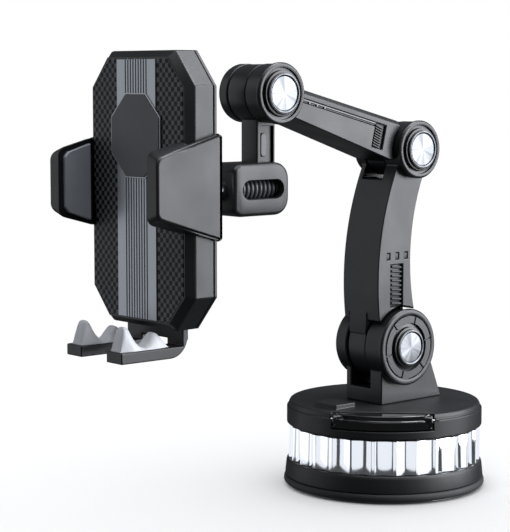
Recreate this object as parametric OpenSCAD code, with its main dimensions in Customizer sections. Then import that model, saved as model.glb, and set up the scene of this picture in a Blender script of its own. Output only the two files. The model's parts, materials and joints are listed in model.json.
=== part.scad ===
// Car phone mount: suction base with a locking lever, swivelling turret, two-part
// arm, wrist neck on a ball joint, and a spring clamp with side jaws and two feet.
// Origin: centre of the suction face, on the surface that it is stuck to.
// +Z is up, the phone faces -Y, and all three arm hinges run along X.

/* [Base] */
// Outer radius of the suction cup's lip
base_r = 42; // [38:0.5:46]
// Outer radius of the fluted ring
ring_r = 40.1; // [37:0.1:41]
// Number of flutes round the ring
flutes = 28; // [20:1:36]
// Depth of each flute
flute_depth = 0.9; // [0.4:0.1:1.2]
// Height of the top of the swivelling cover
cover_top = 35.8; // [35.8:0.1:36.4]
// Turn of the locking lever's middle from straight ahead
lever_angle = 44; // [35:1:60]

/* [Arm] */
// Height of the lower hinge axis
hinge1_z = 59.2; // [58:0.2:62]
// Distance of the elbow axis behind the lower hinge
elbow_y = 5.9; // [5:0.1:7]
// Height of the elbow axis
elbow_z = 140.6; // [140:0.1:142]
// Distance of the wrist axis in front of the lower hinge
wrist_y = -70.3; // [-72:0.1:-69]
// Height of the wrist axis
wrist_z = 163.9; // [163:0.1:165]
// Half width of both arms
arm_half = 10.3; // [10:0.1:11]
// Radius of the lower hinge's ears
ear_r = 15.2; // [14.6:0.1:15.4]
// Radius of the elbow's and wrist's ears
elbow_r = 11.4; // [11:0.1:11.6]

/* [Clamp] */
// Half width of the clamp body
clamp_half = 30; // [29:0.2:31]
// Height of the clamp body's bottom edge
clamp_bottom = 78.2; // [77:0.2:79]
// Height of the clamp body's top edge
clamp_top = 179.8; // [179:0.2:181]
// Width of the octagonal phone pad
pad_w = 28.4; // [26:0.2:30]
// Number of flutes on the centre strip
strip_flutes = 9; // [5:1:11]
// Ball radius
ball_r = 8.5; // [8.5:0.1:8.6]

/* [Hidden] */
$fn = 64;
eps = 0.01;
run = 0.05;            // radial clearance of a running fit
lip_h = 4.2;           // rubber lip
gel_t = 0.8;           // gel disc under the cup
skirt_z = 11.3;        // top of the housing's skirt
ring_top = 25.6;       // top of the fluted ring
flange_top = 26;       // housing rim that the cover turns on
cover_z = 26.2;        // lower edge of the cover
cover_r = 40.8;
lever_u = 34;          // lever pivot: distance from the base axis
lever_z = 32.9;        // lever pivot: height
lever_r = 2.7;         // radius of the lever's hinge barrel
lever_half = 20;       // half length of the lever
pin_r = 1;
stem_r = 4;
lift_r = 25.6;         // radius of the lift plate
lift_z = 25.45;        // underside of the lift plate
axle_r = 3;            // hinge bolts
tongue_x0 = -7;        // tongues of the two arms
tongue_x1 = 3;
washer_t = 0.55;
slot_x0 = tongue_x0 - washer_t - 0.05;
slot_x1 = tongue_x1 + washer_t + 0.05;
boss_x = 12.4;         // outer end of the right-hand ears
cap_x = 14.1;          // rim of the hub caps
disc_x = 16.4;         // face of the silver discs
neck_half = 4.8;
clamp_front = -129;    // front of the clamp's bevel
clamp_edge = -126;     // where the bevel starts
clamp_back = -115.9;
cover_t = 1.5;         // thickness of the clamp's rear cover
wall = 1.8;
clamp_mid = (clamp_bottom + clamp_top) / 2;
ball_y = -105.5;
ball_z = 127.2;
liner_t = 0.8;         // ball liners
seat_r = ball_r + liner_t + 0.06;
lower_seat_r = 7.6;    // seats of the silver discs
small_seat_r = 8;
gear_m = 1;            // gear module
gear_teeth = 12;
gear_z = 129;
gear_pitch = gear_m * gear_teeth / 2;
rack_y0 = -126.5;
rack_y1 = -122.3;
foot_x0 = 7.7;
foot_x1 = 17;
foot_front = -149.6;
foot_back = -119.1;
foot_z0 = 67.8;
foot_z1 = 72;

// ---------- shared shapes ----------

// Round bar along X between two places
module rod_x(x0, x1, r, y, z) {
  translate([x0, y, z]) rotate([0, 90, 0]) cylinder(h = x1 - x0, r = r);
}

// Round bar along Y between two places
module rod_y(y0, y1, r, x, z) {
  translate([x, y0, z]) rotate([-90, 0, 0]) cylinder(h = y1 - y0, r = r);
}

// Outline drawn in Y and Z, thickened along X
module slab_x(x0, x1) {
  translate([x0, 0, 0]) rotate([90, 0, 90]) linear_extrude(x1 - x0) children();
}

// Outline drawn in X and Z, thickened along Y
module slab_y(y0, y1) {
  translate([0, y1, 0]) rotate([90, 0, 0]) linear_extrude(y1 - y0) children();
}

// Box between two corners
module block(a, b) {
  translate(a) cube(b - a);
}

// Washer or tube along X
module ring_x(x0, x1, r_out, r_in, y, z) {
  difference() {
    rod_x(x0, x1, r_out, y, z);
    rod_x(x0 - 1, x1 + 1, r_in, y, z);
  }
}

// Turns a piece to face the locking lever: +X becomes the lever's direction
module toward_lever() {
  rotate([0, 0, lever_angle - 90]) children();
}

// ---------- base ----------

module suction_cup() {
  color("#1a1a1b") difference() {
    rotate_extrude() polygon([[0, gel_t], [40, gel_t], [41.3, 1], [base_r, 1.6],
      [base_r, 3.2], [41.3, lip_h], [36.6, lip_h], [36.2, 6.6],
      [14, 8.4], [9, 8.4], [9, 12.6], [0, 12.6]]);
    translate([0, 0, 5.9]) cylinder(h = 4.8, r = 6.8);
    translate([0, 0, 10]) cylinder(h = 4, r = stem_r + 0.3);
  }
}

// Sticky gel disc bonded under the cup
module gel_pad() {
  color("#5b6064") cylinder(h = gel_t - 0.01, r = 39.9);
}

// Skirt, wall and floor in one, with the stem's guide in the middle
module base_housing() {
  guide_r = stem_r + run;
  color("#1d1d1f") rotate_extrude() polygon([[36.9, 4.5], [41.5, 4.5], [40.9, skirt_z - 1],
    [40.4, skirt_z], [37.4, skirt_z], [37.4, flange_top], [34.4, flange_top], [34.4, 24],
    [36, 24], [36, 11.6], [11.5, 11.6], [11.5, 15], [7, 15], [7, 19], [guide_r, 19],
    [guide_r, 13.2], [9.4, 13.2], [9.4, 9.5], [36.9, 9.5]]);
}

// Cutting one flute all the way up the ring
module flute_cut() {
  flute_cut_r = 8;
  translate([ring_r - flute_depth + flute_cut_r, 0, skirt_z]) {
    cylinder(h = 20, r = flute_cut_r);
  }
}

module fluted_ring() {
  color("#dfe3e8") difference() {
    translate([0, 0, skirt_z + 0.1]) cylinder(h = ring_top - skirt_z - 0.1, r = ring_r);
    translate([0, 0, skirt_z - 1]) cylinder(h = 20, r = 37.5);
    for (i = [0 : flutes - 1]) rotate([0, 0, (i + 0.5) * 360 / flutes]) flute_cut();
  }
}

module suction_stem() {
  color("#b9bcc0") union() {
    translate([0, 0, 8.6]) cylinder(h = 2, r = 6.5);
    translate([0, 0, 8.6]) cylinder(h = 21.4, r = stem_r);
  }
}

module lift_plate() {
  color("#d8d6cf") difference() {
    translate([0, 0, lift_z]) cylinder(h = 1.6, r = lift_r);
    translate([0, 0, lift_z - 1]) cylinder(h = 4, r = stem_r + 0.02);
  }
}

module stem_nut() {
  color("#b9bcc0") difference() {
    translate([0, 0, lift_z + 1.62]) cylinder(h = 2.2, r = 7, $fn = 6);
    translate([0, 0, lift_z]) cylinder(h = 6, r = stem_r + 0.02);
  }
}

// Space that the lever turns in, seen with the lever's middle on +X
module lever_room() {
  block([lever_u - lever_r - 0.35, -lever_half - 0.5, 29.4], [46, lever_half + 0.5, 40]);
  block([20, -4.4, 18], [36, 4.4, 33.4]);
}

module base_cover() {
  rim_z = 33.4;
  color("#222224") difference() {
    union() {
      rotate_extrude() polygon([[0, 33.6], [33, 33.6], [33, 23.8], [34.1, 23.8],
        [34.1, 26.56], [35.8, 26.56], [35.8, 32.4], [38.6, 32.4], [38.6, cover_z],
        [cover_r, cover_z], [cover_r, rim_z], [40, rim_z + 0.2], [40, 34.6],
        [39.4, cover_top], [0, cover_top]]);
      intersection() {
        toward_lever() block([29.5, -23, 28], [41, 23, cover_top - 0.5]);
        translate([0, 0, cover_z]) cylinder(h = rim_z - cover_z, r = cover_r);
      }
      block([-7, -33.5, cover_top - 1], [6, -22.6, cover_top + 2]);
    }
    toward_lever() lever_room();
    toward_lever() translate([lever_u, -20.95, lever_z]) {
      rotate([-90, 0, 0]) cylinder(h = 41.9, r = pin_r + 0.01);
    }
    for (s = turret_screw_spots()) translate([s[0], s[1], 30]) cylinder(h = 8, r = 1.6);
  }
}

module swivel_washer() {
  color("#e8e6df") difference() {
    translate([0, 0, flange_top + 0.02]) cylinder(h = 0.5, r = 38.3);
    translate([0, 0, flange_top - 1]) cylinder(h = 3, r = 34.5);
  }
}

module swivel_retainer() {
  color("#3a3b3d") difference() {
    translate([0, 0, 22]) cylinder(h = 1.78, r = 35.7);
    translate([0, 0, 21]) cylinder(h = 4, r = 33.1);
    for (a = [0 : 90 : 270]) rotate([0, 0, a + 10]) translate([33.55, 0, 21]) {
      cylinder(h = 4, r = 0.35, $fn = 24);
    }
  }
}

module retainer_screws() {
  color("#8d9095") for (a = [0 : 90 : 270]) {
    rotate([0, 0, a + 10]) translate([33.55, 0, 21.2]) union() {
      cylinder(h = 0.78, r = 0.9);
      cylinder(h = 2.55, r = 0.34, $fn = 24);
    }
  }
}

module lock_lever() {
  nose_w = 3.6;
  color("#101011") toward_lever() difference() {
    union() {
      intersection() {
        block([lever_u, -lever_half, 29.8], [45, lever_half, lever_z + lever_r]);
        translate([0, 0, 29.8]) cylinder(h = 3.6, r = cover_r - 0.1);
      }
      intersection() {
        block([lever_u, -lever_half, 33.3], [45, lever_half, lever_z + lever_r]);
        translate([0, 0, 33.3]) cylinder(h = lever_z + lever_r - 33.3, r1 = 40.2, r2 = 39.2);
      }
      translate([lever_u, -lever_half, lever_z]) rotate([-90, 0, 0]) {
        cylinder(h = 2 * lever_half, r = lever_r);
      }
      rotate([90, 0, 0]) translate([0, 0, -nose_w]) linear_extrude(2 * nose_w) {
        polygon([[lever_u, lever_z - 2.6], [lever_u - 2.4, lever_z - 0.6], [26.2, 25.4],
          [23.8, 25.4], [23.8, 24.2], [27.4, 24.4], [lever_u - 0.6, lever_z - 2.7]]);
      }
    }
    translate([lever_u, -25, lever_z]) rotate([-90, 0, 0]) cylinder(h = 50, r = pin_r + run);
  }
}

module lever_pin() {
  color("#b9bcc0") toward_lever() translate([lever_u, -20.9, lever_z]) {
    rotate([-90, 0, 0]) cylinder(h = 41.8, r = pin_r);
  }
}

// ---------- turret ----------

function turret_screw_spots() = [[-7.5, -8], [7.5, -8], [-7.5, 19], [7.5, 19]];

module turret_fork() {
  base_front = -12;
  base_back = 23.6;
  slot_floor = 42;
  color("#262628") difference() {
    union() {
      slab_x(-10.5, 10.5) polygon([[base_front, cover_top], [base_back, cover_top],
        [17.6, 50.5], [14.2, hinge1_z - 5.5], [14.2, hinge1_z], [base_front, hinge1_z]]);
      rod_x(-boss_x - 0.4, boss_x, ear_r, 0, hinge1_z);
    }
    block([slot_x0, -20, slot_floor], [slot_x1, 30, 80]);
    rod_x(-20, 20, axle_r + run, 0, hinge1_z);
    rod_x(-20, -boss_x + 2, 8.2, 0, hinge1_z);
    rod_x(boss_x - 4.6, 20, 6.4, 0, hinge1_z);
    for (s = turret_screw_spots()) translate([s[0], s[1], 30]) cylinder(h = 11, r = 1.2);
  }
}

module turret_screws() {
  color("#8d9095") for (s = turret_screw_spots()) {
    translate([s[0], s[1], 32.2]) cylinder(h = 1.3, r = 2.4);
    translate([s[0], s[1], 32.2]) cylinder(h = 8.4, r = 1.19);
  }
}

// ---------- hinge hardware ----------

// Bolt with its head in the left-hand ear
module hinge_bolt(x_head, x_end, y, z) {
  rod_x(x_head, x_head + 2, 5.2, y, z);
  rod_x(x_head, x_end, axle_r, y, z);
}

// Lock nut on the right-hand end of a bolt
module hinge_nut(x0, y, z) {
  difference() {
    translate([x0, y, z]) rotate([0, 90, 0]) cylinder(h = 3, r = 6, $fn = 6);
    rod_x(x0 - 1, x0 + 4, axle_r + 0.01, y, z);
  }
}

// Friction washer on each side of a tongue
module hinge_washers(x0, x1, r, y, z) {
  ring_x(x0 - washer_t - 0.02, x0 - 0.02, r, axle_r + 0.1, y, z);
  ring_x(x1 + 0.02, x1 + washer_t + 0.02, r, axle_r + 0.1, y, z);
}

// Stepped hub cap: rim, groove, thin ring and the raised seat of the disc
module hub_cap(r, seat_r, y, z) {
  difference() {
    union() {
      rod_x(boss_x, cap_x - 0.6, r, y, z);
      translate([cap_x - 0.6, y, z]) rotate([0, 90, 0]) cylinder(h = 0.6, r1 = r, r2 = r - 0.6);
      rod_x(boss_x, cap_x + 0.5, seat_r + 1.3, y, z);
      rod_x(boss_x, disc_x - 0.7, seat_r, y, z);
    }
    ring_x(cap_x - 1.1, disc_x, r - 1.9, seat_r + 1.3, y, z);
    rod_x(disc_x - 1.5, disc_x + 1, seat_r - 0.6, y, z);
    rod_x(boss_x - 1, boss_x + 0.4, 6.2, y, z);
  }
}

// Spun metal disc with a raised bead at its edge
module hub_disc(seat_r, y, z) {
  difference() {
    rod_x(disc_x - 1.48, disc_x, seat_r - 0.62, y, z);
    rod_x(disc_x - 0.25, disc_x + 1, seat_r - 1.3, y, z);
  }
}

// ---------- lower hinge ----------

module lower_axle() {
  color("#b9bcc0") hinge_bolt(-boss_x, 11, 0, hinge1_z);
}

module lower_axle_nut() {
  color("#8d9095") hinge_nut(boss_x - 4.5, 0, hinge1_z);
}

module lower_washers() {
  color("#c9a15a") hinge_washers(tongue_x0, tongue_x1, 11, 0, hinge1_z);
}

module lower_cap() {
  rim_r = 15.9;
  color("#2a2b2d") difference() {
    hub_cap(rim_r, lower_seat_r, 0, hinge1_z);
    ring_x(cap_x - 1.1, cap_x + 1, 13.4, lower_seat_r + 1.3, 0, hinge1_z);
  }
}

// Six raised segments between the cap's rim and the seat
module lower_cap_ring() {
  color("#3c3d40") difference() {
    ring_x(cap_x - 1.08, cap_x + 0.1, 12.9, 10, 0, hinge1_z);
    for (i = [0 : 5]) {
      translate([0, 0, hinge1_z]) rotate([i * 60 + 12, 0, 0]) {
        block([cap_x - 0.5, 8, -0.35], [cap_x + 1, 15, 0.35]);
      }
    }
  }
}

module lower_cap_disc() {
  color("#e4e6e8") hub_disc(lower_seat_r, 0, hinge1_z);
}

module lower_end_cap() {
  color("#2a2b2d") union() {
    rod_x(-14.4, -boss_x - 0.42, ear_r - 0.6, 0, hinge1_z);
    ring_x(-boss_x - 0.5, -boss_x + 1, 8.1, 6.6, 0, hinge1_z);
  }
}

// ---------- lower arm ----------

// Curved side outline of the lower arm, between the two hinges
module lower_arm_outline() {
  front_r = 113;
  back_r = 87.5;
  difference() {
    intersection() {
      translate([-30, 70.5]) square([60, elbow_z - 70.5]);
      translate([front_r - 14.3, 86]) circle(r = front_r, $fn = 360);
    }
    translate([back_r + 4.6, 95]) circle(r = back_r, $fn = 360);
  }
}

module lower_arm() {
  tongue_r = 14.4;
  shoulder_r = 16.6;
  color("#262628") difference() {
    union() {
      difference() {
        slab_x(-arm_half, arm_half) lower_arm_outline();
        rod_x(-30, tongue_x0, shoulder_r, 0, hinge1_z);
        rod_x(tongue_x1, 30, shoulder_r, 0, hinge1_z);
      }
      rod_x(tongue_x0, tongue_x1, tongue_r, 0, hinge1_z);
      slab_x(tongue_x0, tongue_x1) polygon([[-13.7, 78], [-13.9, hinge1_z + 6],
        [-12, hinge1_z], [12, hinge1_z], [7, 78]]);
      rod_x(-boss_x - 0.4, boss_x, elbow_r, elbow_y, elbow_z);
    }
    rod_x(-20, 20, axle_r + run, 0, hinge1_z);
    block([slot_x0, -30, elbow_z - 12.3], [slot_x1, 40, 170]);
    rod_x(slot_x0, slot_x1, 12.9, elbow_y, elbow_z);
    rod_x(-20, 20, axle_r + run, elbow_y, elbow_z);
    rod_x(-20, -boss_x + 2, 7, elbow_y, elbow_z);
    rod_x(boss_x - 4.6, 20, 6.4, elbow_y, elbow_z);
    block([arm_half - 1.6, -6.9, 76], [20, 0.1, 93.4]);
    for (i = [0 : 2]) {
      block([arm_half - 1.2, -9.1 + i * 5.1, 95.6], [20, -7.5 + i * 5.1, 98.2]);
    }
    arm_core();
  }
}

// Hollow inside the lower arm, closed on all sides
module arm_core() {
  slab_x(-arm_half + 2.2, arm_half - 2.6) polygon([[-10.5, 80], [3, 80], [2.2, 95],
    [3.2, 108], [5, 118], [-4.4, 124], [-8.6, 112], [-10.6, 98]]);
}

// Slanted ribs over the vent
module lower_arm_grille() {
  ribs = 9;
  pitch = 1.9;
  color("#1b1b1c") union() {
    block([arm_half - 1.59, -6.85, 76.05], [arm_half - 1.1, 0.05, 93.35]);
    for (i = [0 : ribs - 1]) {
      translate([0, -5.9, 77 + i * pitch]) rotate([-6, 0, 0]) {
        block([arm_half - 1.4, 0, 0], [arm_half - 0.15, 4.6, 0.85]);
      }
    }
  }
}

module lower_arm_studs() {
  color("#0e0e0f") for (i = [0 : 2]) {
    block([arm_half - 1.19, -9.05 + i * 5.1, 95.65], [arm_half - 0.4, -7.55 + i * 5.1, 98.15]);
  }
}

// ---------- elbow ----------

module elbow_axle() {
  color("#b9bcc0") union() {
    hinge_bolt(-boss_x, 11, elbow_y, elbow_z);
    hinge_nut(boss_x - 4.5, elbow_y, elbow_z);
  }
}

module elbow_washers() {
  color("#c9a15a") hinge_washers(tongue_x0, tongue_x1, 9, elbow_y, elbow_z);
}

module elbow_cap() {
  color("#2a2b2d") hub_cap(11.9, small_seat_r, elbow_y, elbow_z);
}

module elbow_cap_disc() {
  color("#e4e6e8") hub_disc(small_seat_r, elbow_y, elbow_z);
}

module elbow_end_cap() {
  color("#2a2b2d") union() {
    rod_x(-13.8, -boss_x - 0.42, elbow_r - 0.5, elbow_y, elbow_z);
    ring_x(-boss_x - 0.5, -boss_x + 1, 6.9, 5.6, elbow_y, elbow_z);
  }
}

// ---------- upper arm ----------

// Tapered side outline of the upper arm
module upper_arm_outline() {
  polygon([[elbow_y, 150.3], [-5, 153.1], [-58, 166.2], [wrist_y, 169.2], [wrist_y, 157.6],
    [-58, 153.6], [-8.5, 136.9], [elbow_y, 134]]);
}

module upper_arm() {
  tongue_r = 11.2;
  shoulder_r = 12.2;
  wrist_left = -9.6;
  color("#262628") difference() {
    union() {
      difference() {
        slab_x(-arm_half, arm_half) upper_arm_outline();
        rod_x(-30, tongue_x0, shoulder_r, elbow_y, elbow_z);
        rod_x(tongue_x1, 30, shoulder_r, elbow_y, elbow_z);
        block([-30, elbow_y - 8, 120], [tongue_x0, 40, 170]);
        block([tongue_x1, elbow_y - 8, 120], [30, 40, 170]);
        bar_bevels();
      }
      rod_x(tongue_x0, tongue_x1, tongue_r, elbow_y, elbow_z);
      rod_x(wrist_left, boss_x, elbow_r, wrist_y, wrist_z);
    }
    block([-30, wrist_y - 12, 150], [wrist_left, wrist_y + elbow_r + 0.2, 180]);
    rod_x(-20, 20, axle_r + run, elbow_y, elbow_z);
    rod_x(-20, 20, axle_r + run, wrist_y, wrist_z);
    rod_x(-neck_half - washer_t - 0.05, neck_half + washer_t + 0.05, 12.1, wrist_y, wrist_z);
    block([-neck_half - 0.6, wrist_y - 20, 140], [neck_half + 0.6, wrist_y + 4, 190]);
    rod_x(-20, wrist_left + 2, 5.6, wrist_y, wrist_z);
    rod_x(boss_x - 4.6, 20, 6.4, wrist_y, wrist_z);
    arm_frame() block([arm_half - 1.6, -3.4, -5.3], [20, 2.6, 4.6]);
    arm_frame() block([arm_half - 0.8, -46.4, 3.2], [20, -3.4, 4.6]);
    slab_x(-arm_half + 2.2, arm_half - 2.6) polygon([[-14, 147.5], [-50, 156.8],
      [-50, 154.6], [-14, 141.4]]);
  }
}

// Local frame on the bar's side: Y runs along the bar, its zero near the elbow
module arm_frame() {
  translate([0, -13.8, 146.6]) rotate([-14, 0, 0]) children();
}

// Long bevels along the bar's two top edges
module bar_bevels() {
  bevel = 1.3;
  for (side = [-1, 1]) {
    translate([side * arm_half, -5, 153.1]) rotate([-13.9, 0, 0]) rotate([0, 45, 0]) {
      cube([2 * bevel, 160, 2 * bevel], center = true);
    }
  }
}

module upper_arm_grille() {
  ribs = 9;
  color("#1b1b1c") arm_frame() union() {
    block([arm_half - 1.59, -3.35, -5.25], [arm_half - 1.1, 2.55, 4.55]);
    for (i = [0 : ribs - 1]) {
      translate([0, -3, -4.5 + i]) rotate([-10, 0, 0]) {
        block([arm_half - 1.4, 0, 0], [arm_half - 0.15, 4.2, 0.5]);
      }
    }
  }
}

module upper_arm_inlay() {
  teeth = 3;
  color("#0e0e0f") arm_frame() union() {
    block([arm_half - 0.79, -46.35, 4.0], [arm_half - 0.2, -3.45, 4.55]);
    for (i = [0 : teeth - 1]) {
      block([arm_half - 0.79, -41 + i * 4.2, 3.25], [arm_half - 0.2, -40.2 + i * 4.2, 4.2]);
    }
  }
}

// ---------- wrist and neck ----------

module wrist_axle() {
  color("#b9bcc0") union() {
    hinge_bolt(-9.6, 11, wrist_y, wrist_z);
    hinge_nut(boss_x - 4.5, wrist_y, wrist_z);
  }
}

module wrist_washers() {
  color("#c9a15a") hinge_washers(-neck_half, neck_half, 9, wrist_y, wrist_z);
}

module wrist_cap() {
  color("#2a2b2d") hub_cap(11.9, small_seat_r, wrist_y, wrist_z);
}

module wrist_cap_disc() {
  color("#e4e6e8") hub_disc(small_seat_r, wrist_y, wrist_z);
}

module wrist_end_cap() {
  color("#2a2b2d") union() {
    rod_x(-10.6, -9.62, elbow_r - 0.4, wrist_y, wrist_z);
    ring_x(-9.7, -8.4, 5.5, 5.25, wrist_y, wrist_z);
  }
}

// Rounded housing that carries the ball, its long sides along Y
module barrel_shell() {
  corner = 6.5;
  slab_x(-8.6, 8.6) {
    translate([-86.5, 117]) square([18.5, 20.4]);
    polygon([[-86, 117], [-86.5, 117], [-89.5, 119], [-89.5, 135.4], [-86.5, 137.4], [-86, 137.4]]);
    translate([-68, 117 + corner]) square([corner, 20.4 - 2 * corner]);
    for (z = [117 + corner, 137.4 - corner]) translate([-68, z]) circle(r = corner);
  }
}

module neck() {
  tongue_r = 11.2;
  color("#2a2b2d") difference() {
    union() {
      rod_x(-neck_half, neck_half, tongue_r, wrist_y, wrist_z);
      block([-neck_half, -74.9, 136], [neck_half, -65.7, wrist_z]);
      barrel_shell();
    }
    rod_x(-20, 20, axle_r + run, wrist_y, wrist_z);
    block([neck_half - 1.2, -73.2, 137.4], [20, -66.6, 151.4]);
    rod_y(-87.5, -64.5, 5.4, 0, ball_z);
    rod_y(-95, -85, 4.36, 0, ball_z);
    slab_x(0, 20) barrel_window(0);
  }
}

// Long round-ended window in the barrel's side
module barrel_window(inset) {
  win_r = 4.1 - inset;
  for (y = [-81.2, -68.6]) translate([y, ball_z]) circle(r = win_r);
  translate([-81.2, ball_z - win_r]) square([12.6, 2 * win_r]);
}

module neck_key() {
  color("#34353a") slab_x(neck_half - 1.19, neck_half - 0.1) {
    for (z = [141, 147.2]) translate([-71.4, z]) circle(r = 1.5);
    translate([-72.9, 141]) square([3, 6.2]);
  }
}

// Ribbed core behind the barrel's window
module barrel_core() {
  ridges = 10;
  pitch = 2.15;
  color("#3a3b3e") union() {
    rod_y(-87.45, -64.55, 4.3, 0, ball_z);
    for (i = [0 : ridges - 1]) {
      translate([0, -85.8 + i * pitch, ball_z]) rotate([-90, 0, 0]) rotate_extrude() {
        translate([4.3, 0]) circle(r = 0.85, $fn = 24);
      }
    }
  }
}

module ball_stud() {
  color("#c4c7ca") union() {
    translate([0, ball_y, ball_z]) sphere(r = ball_r);
    rod_y(ball_y, -87.5, 4.35, 0, ball_z);
  }
}

// Part of a thin spherical shell about the ball, between two angles from +Y
module liner(a0, a1) {
  r0 = ball_r + 0.04;
  r1 = ball_r + liner_t;
  steps = 10;
  inner = [for (i = [0 : steps]) let (a = a0 + (a1 - a0) * i / steps)
    [r0 * sin(a) / cos((a1 - a0) / steps / 2), r0 * cos(a) / cos((a1 - a0) / steps / 2)]];
  outer = [for (i = [steps : -1 : 0]) let (a = a0 + (a1 - a0) * i / steps)
    [r1 * sin(a), r1 * cos(a)]];
  translate([0, ball_y, ball_z]) rotate([-90, 0, 0]) rotate_extrude() {
    polygon(concat(inner, outer));
  }
}

module ball_liner_rear() {
  color("#d8d6cf") liner(56, 69);
}

module ball_liner_front() {
  color("#d8d6cf") liner(92, 160);
}

// ---------- clamp ----------

module socket_nut() {
  nut_r = 12.4;
  ribs = 24;
  color("#1d1d1f") difference() {
    union() {
      rod_y(-112, -101.4, nut_r, 0, ball_z);
      translate([0, -101.4, ball_z]) rotate([-90, 0, 0]) cylinder(h = 0.6, r1 = nut_r, r2 = nut_r - 0.6);
    }
    translate([0, ball_y, ball_z]) sphere(r = seat_r);
    rod_y(-113, ball_y, 11 + run, 0, ball_z);
    for (i = [0 : ribs - 1]) {
      translate([0, 0, ball_z]) rotate([0, i * 360 / ribs, 0]) {
        rod_y(-111, -102, 0.55, nut_r, 0);
      }
    }
  }
}

// Octagon of the clamp's front, drawn in X and Z, inset all round
module clamp_outline(inset) {
  top_half = 19.2 - inset * 0.5;
  side = clamp_half - inset;
  polygon([[-top_half, clamp_top - inset], [top_half, clamp_top - inset],
    [side, 167.1 - inset * 0.35], [side, 90.7 + inset * 0.35],
    [top_half, clamp_bottom + inset], [-top_half, clamp_bottom + inset],
    [-side, 90.7 + inset * 0.35], [-side, 167.1 - inset * 0.35]]);
}

function clamp_screw_spots() = [[-22, 96], [22, 96], [-22, 162], [22, 162]];

module clamp_body() {
  bevel = 2.7;
  color("#2a2b2e") difference() {
    union() {
      slab_y(clamp_edge, clamp_back - cover_t) clamp_outline(0);
      hull() {
        slab_y(clamp_edge, clamp_edge + 0.1) clamp_outline(0);
        slab_y(clamp_front, clamp_front + 0.1) clamp_outline(bevel);
      }
    }
    difference() {
      slab_y(-127.1, -110) clamp_outline(wall);
      for (s = clamp_screw_spots()) rod_y(-128, -117, 3, s[0], s[1]);
    }
    slab_y(-140, clamp_front + 0.8) clamp_outline(bevel + 0.3);
    for (s = clamp_screw_spots()) rod_y(-126, -110, 1.2, s[0], s[1]);
    block([-40, rack_y0 - 0.2, 134.4], [0, rack_y1 + 0.2, 140.8]);
    block([0, rack_y0 - 0.2, 117.2], [40, rack_y1 + 0.2, 123.6]);
    block([-foot_x1 - 0.4, -122.1, 70], [foot_x1 + 0.4, -118.6, 84]);
  }
}

module clamp_rear_cover() {
  color("#232426") difference() {
    union() {
      slab_y(clamp_back - cover_t, clamp_back) clamp_outline(0);
      rod_y(clamp_back - 1, ball_y - 1, 11, 0, ball_z);
      rod_y(clamp_back - 1, clamp_back + 2, 14, 0, ball_z);
      rod_y(-126.4, clamp_back - 1, 1.9, 0, gear_z);
      rod_y(-122.2, clamp_back - 1, 2.9, 0, gear_z);
    }
    translate([0, ball_y, ball_z]) sphere(r = seat_r);
    for (s = clamp_screw_spots()) {
      rod_y(-120, -110, 1.3, s[0], s[1]);
      rod_y(-116.6, -110, 2.5, s[0], s[1]);
    }
  }
}

module clamp_screws() {
  color("#8d9095") for (s = clamp_screw_spots()) {
    rod_y(-116.58, -115.95, 2.3, s[0], s[1]);
    rod_y(-124, -116.2, 1.19, s[0], s[1]);
  }
}

module front_panel() {
  color("#26272b") difference() {
    slab_y(clamp_front - 0.25, clamp_front + 0.78) clamp_outline(3.02);
    block([-11.7, clamp_front - 1, 60], [11.7, clamp_front + 0.3, 200]);
  }
}

module centre_strip() {
  strip_z0 = clamp_bottom + 3.2;
  strip_z1 = clamp_top - 3.2;
  pitch = 14 / strip_flutes;
  color("#aeb3b9") difference() {
    block([-11.6, clamp_front - 0.6, strip_z0], [11.6, clamp_front + 0.28, strip_z1]);
    for (i = [0 : strip_flutes - 1]) {
      x = -7 + (i + 0.5) * pitch;
      block([x - 0.3, clamp_front - 2, 60], [x + 0.3, clamp_front - 0.15, 200]);
    }
    slab_y(clamp_front - 2, clamp_front - 0.1) pad_outline(pad_w / 2 + 0.1);
  }
}

// Long octagon of the phone pad, drawn in X and Z
module pad_outline(half) {
  pad_z = 148.8;
  half_h = half + 0.8;
  top_half = half * 0.4;
  chamfer_z = half * 0.46;
  polygon([[-top_half, pad_z + half_h], [top_half, pad_z + half_h], [half, pad_z + chamfer_z],
    [half, pad_z - chamfer_z], [top_half, pad_z - half_h], [-top_half, pad_z - half_h],
    [-half, pad_z - chamfer_z], [-half, pad_z + chamfer_z]]);
}

module phone_pad() {
  color("#46474a") union() {
    slab_y(clamp_front - 1.3, clamp_front - 0.62) pad_outline(pad_w / 2);
    intersection() {
      slab_y(clamp_front - 0.7, clamp_front - 0.12) pad_outline(pad_w / 2);
      block([-11.55, -140, 60], [11.55, -120, 200]);
    }
  }
}

// Trapezoid side outline of a jaw, drawn in Y and Z
module jaw_outline(grow) {
  front = -145.5;
  back = -116.2;
  round_r = 3.5;
  hull() {
    translate([front + round_r, 142.4 - round_r + grow]) circle(r = round_r, $fn = 32);
    translate([front + round_r, 119.7 + round_r - grow]) circle(r = round_r, $fn = 32);
    translate([back, 149.8 + grow * 0.4 - 0.5]) square([0.1, 0.5]);
    translate([back, 111.4 - grow * 0.4]) square([0.1, 0.5]);
  }
}

// Right-hand jaw with its rack arm; the left one is this turned over
module jaw(rack_z, tooth_dir) {
  plate_x = 30.5;
  outer_x = 33;
  inner_x = 26.8;
  difference() {
    hull() {
      slab_x(outer_x - 0.4, outer_x) jaw_outline(0);
      slab_x(inner_x, inner_x + 0.4) jaw_outline(2);
    }
    block([0, -130, 90], [plate_x, -100, 170]);
    slab_x(0, inner_x + 1) jaw_recess();
  }
  rack(rack_z, tooth_dir, plate_x);
}

// Shallow recess that holds the jaw's pad
module jaw_recess() {
  polygon([[-143.2, 140.6], [-141.6, 142.4], [-131.4, 145.4], [-131.4, 116.2],
    [-141.6, 119.6], [-143.2, 121.6]]);
}

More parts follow.
